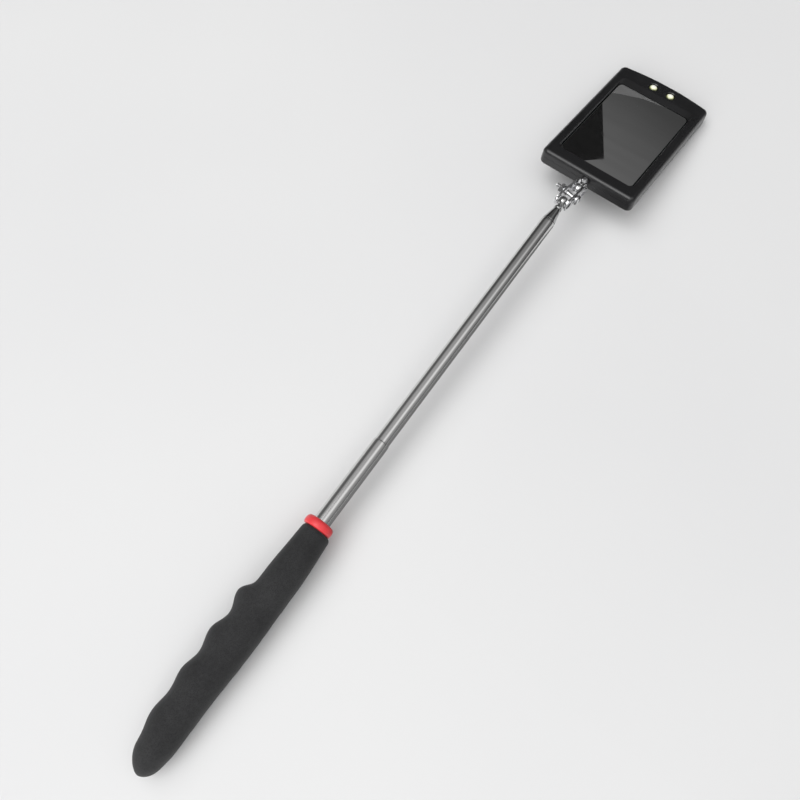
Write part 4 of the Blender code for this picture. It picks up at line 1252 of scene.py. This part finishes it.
# %% [markdown]
# ## What the mirror and the metal show
#
# A mirror has no colour of its own, and shows what stands round it. A studio hangs black
# and grey cards for that, so two cards stand beyond the head and one lies on the table
# beside the tubes. Only reflections see them. Their corners come from the line of sight: it
# runs from the camera to a point of the glass, bounces, and meets the card.

# %% Cards that only reflections see
def seen_in_glass(x, y, distance):
    """The place, that far along Y, that the camera sees at a point of the mirror."""
    point = HEAD @ Vector((x * MM, y * MM, GLASS_FACE * MM))
    sight = (point - CAMERA_PLACE).normalized()
    bounced = sight - 2 * sight.dot(head_up) * head_up
    return point + bounced * (distance - point.y) / bounced.y


def card(name, corners, material):
    """A flat card through its corners, which only reflections see."""
    bpy.ops.object.select_all(action="DESELECT")
    bpy.ops.mesh.primitive_circle_add(vertices=len(corners), radius=1, fill_type="NGON")
    made = bpy.context.object
    made.name = name
    for vert, corner in zip(made.data.vertices, corners):
        vert.co = corner
    made.data.materials.append(material)
    made.visible_camera = made.visible_diffuse = made.visible_shadow = False
    made.visible_transmission = False
    print(name, "with", len(corners), "corners")


FAR = 1.4
black_cloth = flat_finish("black_cloth", (0.004, 0.004, 0.004), (0.008, 0.008, 0.008), 2, 0.95)
grey_cloth = flat_finish("grey_cloth", (0.14, 0.14, 0.14), (0.17, 0.17, 0.17), 2, 0.9)
DOORWAY = ((-26, 20), (0.7, -27), (-14, -43), (-50, -50), (-50, 20))
card("dark_doorway", [seen_in_glass(x, y, FAR) for x, y in DOORWAY], black_cloth)
WALL_BAND = ((-24, 16), (-5.4, 25.8), (14, 30), (30, 34), (30, 50), (-24, 50))
card("lighter_wall", [seen_in_glass(x, y, FAR + 0.05) for x, y in WALL_BAND], grey_cloth)

# %% The flag beside the tubes
FLAG_GAP, FLAG_WIDE, FLAG_HEIGHT = 0.003, 0.25, 0.0004
FLAG_FOOT, FLAG_END = 0.112, 0.3
grey_flag = flat_finish("grey_flag", (0.17, 0.17, 0.17), (0.21, 0.21, 0.21), 2, 0.9)
foot, end = MAST @ Vector((0, 0, FLAG_FOOT)), MAST @ Vector((0, 0, FLAG_END))
flag_corners = [(foot.x + FLAG_GAP, foot.y, FLAG_HEIGHT), (foot.x + FLAG_WIDE, foot.y, FLAG_HEIGHT),
                (end.x + FLAG_WIDE, end.y, FLAG_HEIGHT), (end.x + FLAG_GAP, end.y, FLAG_HEIGHT)]
card("flag_beside_tubes", flag_corners, grey_flag)

# %% [markdown]
# ## Light
#
# Polished tubes show the room as bands along their length, so the room is drawn round the
# direction of the mast: a dim corner on the left, a plain ceiling, a bright skylight right
# of the middle, and a darker right side. It gets darker towards the far end. A soft window
# behind the viewer gives the thin bright line along the rounded rim of the head. Where the
# room itself would be in view behind the table, it is plain and pale. Three broad lamps
# light the table: the one on the left makes the soft shadow on the tool's right, and a low
# one in front lights the table under the raised end of the head.

# %% Room
ROOM_LEVEL, BACKDROP = 1.25, 0.8
WINDOW_WAY = Vector((-0.21, -0.36, 0.91)).normalized()
WINDOW_EDGES, WINDOW_GLOW = (0.885, 0.98), 3.5
BANDS = ((-94, 0.42), (-78, 0.25), (-62, 0.1), (-48, 0.14), (-33, 0.38), (-20, 0.46), (0, 0.42),
         (11, 0.66), (18, 1.0), (31, 1.0), (40, 0.55), (50, 0.38), (64, 0.3), (78, 0.2), (92, 0.16))
FAR_END = ((0.0, 1.0), (0.3, 1.0), (0.42, 0.68), (0.52, 0.34), (0.62, 0.28), (0.84, 0.3),
           (0.868, 0.23), (0.892, 0.125), (1.0, 0.08))
world = bpy.data.worlds.new("room")
bpy.context.scene.world = world
world.use_nodes = True
nodes, links = world.node_tree.nodes, world.node_tree.links
nodes.clear()
room = nodes.new("ShaderNodeOutputWorld")
room.label = "room"
glow = nodes.new("ShaderNodeBackground")
glow.label = "light from the room"
look = nodes.new("ShaderNodeTexCoord")
look.label = "direction"
parts = nodes.new("ShaderNodeSeparateXYZ")
parts.label = "its three parts"
around = nodes.new("ShaderNodeMath")
around.label = "angle round the mast"
share = nodes.new("ShaderNodeMapRange")
share.label = "angle as a share of a turn"
bands = nodes.new("ShaderNodeValToRGB")
bands.label = "dim corner, ceiling, skylight"
far = nodes.new("ShaderNodeValToRGB")
far.label = "darker far end"
level = nodes.new("ShaderNodeMath")
level.label = "brightness of the room"
banded_room = nodes.new("ShaderNodeMath")
banded_room.label = "bands with their far end"
towards = nodes.new("ShaderNodeVectorMath")
towards.label = "near the window behind"
window = nodes.new("ShaderNodeMapRange")
window.label = "soft window behind"
total = nodes.new("ShaderNodeMath")
total.label = "room and window"
ray = nodes.new("ShaderNodeLightPath")
ray.label = "is it looked at directly"
shown = nodes.new("ShaderNodeMix")
shown.label = "plain where it is looked at"
for node, x, y in ((look, -1300, 0), (parts, -1100, 150), (around, -900, 250), (share, -700, 250),
                   (bands, -500, 250), (far, -500, -40), (banded_room, -200, 150), (level, -40, 60),
                   (towards, -900, -330), (window, -600, -330), (total, 140, 0), (ray, 140, 300),
                   (shown, 320, 60), (glow, 500, 0), (room, 700, 0)):
    node.location = (x, y)
for label, members in (("bands", (around, share, bands)), ("window", (towards, window))):
    group = nodes.new("NodeFrame")
    group.label = label
    for member in members:
        member.parent = group
around.operation = "ARCTAN2"
share.inputs["From Min"].default_value = -pi
share.inputs["From Max"].default_value = pi
set_stops(bands.color_ramp, [((angle + 180) / 360, (bright,) * 3) for angle, bright in BANDS])
set_stops(far.color_ramp, [(position, (bright,) * 3) for position, bright in FAR_END])
shown.inputs["B"].default_value = BACKDROP
level.operation = "MULTIPLY"
level.inputs[1].default_value = ROOM_LEVEL
banded_room.operation = "MULTIPLY"
towards.operation = "DOT_PRODUCT"
towards.inputs[1].default_value = WINDOW_WAY
window.interpolation_type = "SMOOTHSTEP"
window.inputs["From Min"].default_value = WINDOW_EDGES[0]
window.inputs["From Max"].default_value = WINDOW_EDGES[1]
window.inputs["To Max"].default_value = WINDOW_GLOW
total.operation = "ADD"
links.new(look.outputs["Generated"], parts.inputs["Vector"])
links.new(parts.outputs["X"], around.inputs[0])
links.new(parts.outputs["Z"], around.inputs[1])
links.new(around.outputs["Value"], share.inputs["Value"])
links.new(share.outputs["Result"], bands.inputs["Fac"])
links.new(parts.outputs["Y"], far.inputs["Fac"])
links.new(bands.outputs["Color"], banded_room.inputs[0])
links.new(far.outputs["Color"], banded_room.inputs[1])
links.new(look.outputs["Generated"], towards.inputs[0])
links.new(towards.outputs["Value"], window.inputs["Value"])
links.new(banded_room.outputs["Value"], level.inputs[0])
links.new(level.outputs["Value"], total.inputs[0])
links.new(window.outputs["Result"], total.inputs[1])
links.new(ray.outputs["Is Camera Ray"], shown.inputs["Factor"])
links.new(total.outputs["Value"], shown.inputs["A"])
links.new(shown.outputs["Result"], glow.inputs["Strength"])
links.new(glow.outputs["Background"], room.inputs["Surface"])
print("room with", len(BANDS), "bands")

# %% Lamps of the studio
STUDIO = (  # name, place, aim, side in metres, watts
    ("left_softbox", (-0.9, 0.1, 1.85), (0, 0, 0), 1.5, 8),
    ("top_softbox", (0.1, 0.0, 2.2), (0, 0, 0), 1.4, 3),
    ("front_fill", (0.1, -1.3, 0.7), (0, 0.1, 0), 1.4, 13),
)
for name, place, aim, side, watts in STUDIO:
    bpy.ops.object.light_add(type="AREA", location=place)
    lamp = bpy.context.object
    lamp.name = name
    lamp.data.size = side
    lamp.data.energy = watts
    lamp.visible_glossy = False
    lamp.rotation_euler = (Vector(aim) - Vector(place)).to_track_quat("-Z", "Y").to_euler()
    print(name, watts, "W")

# %% [markdown]
# ## The end
#
# The scene is brought up to date.

# %% End
bpy.context.view_layer.update()
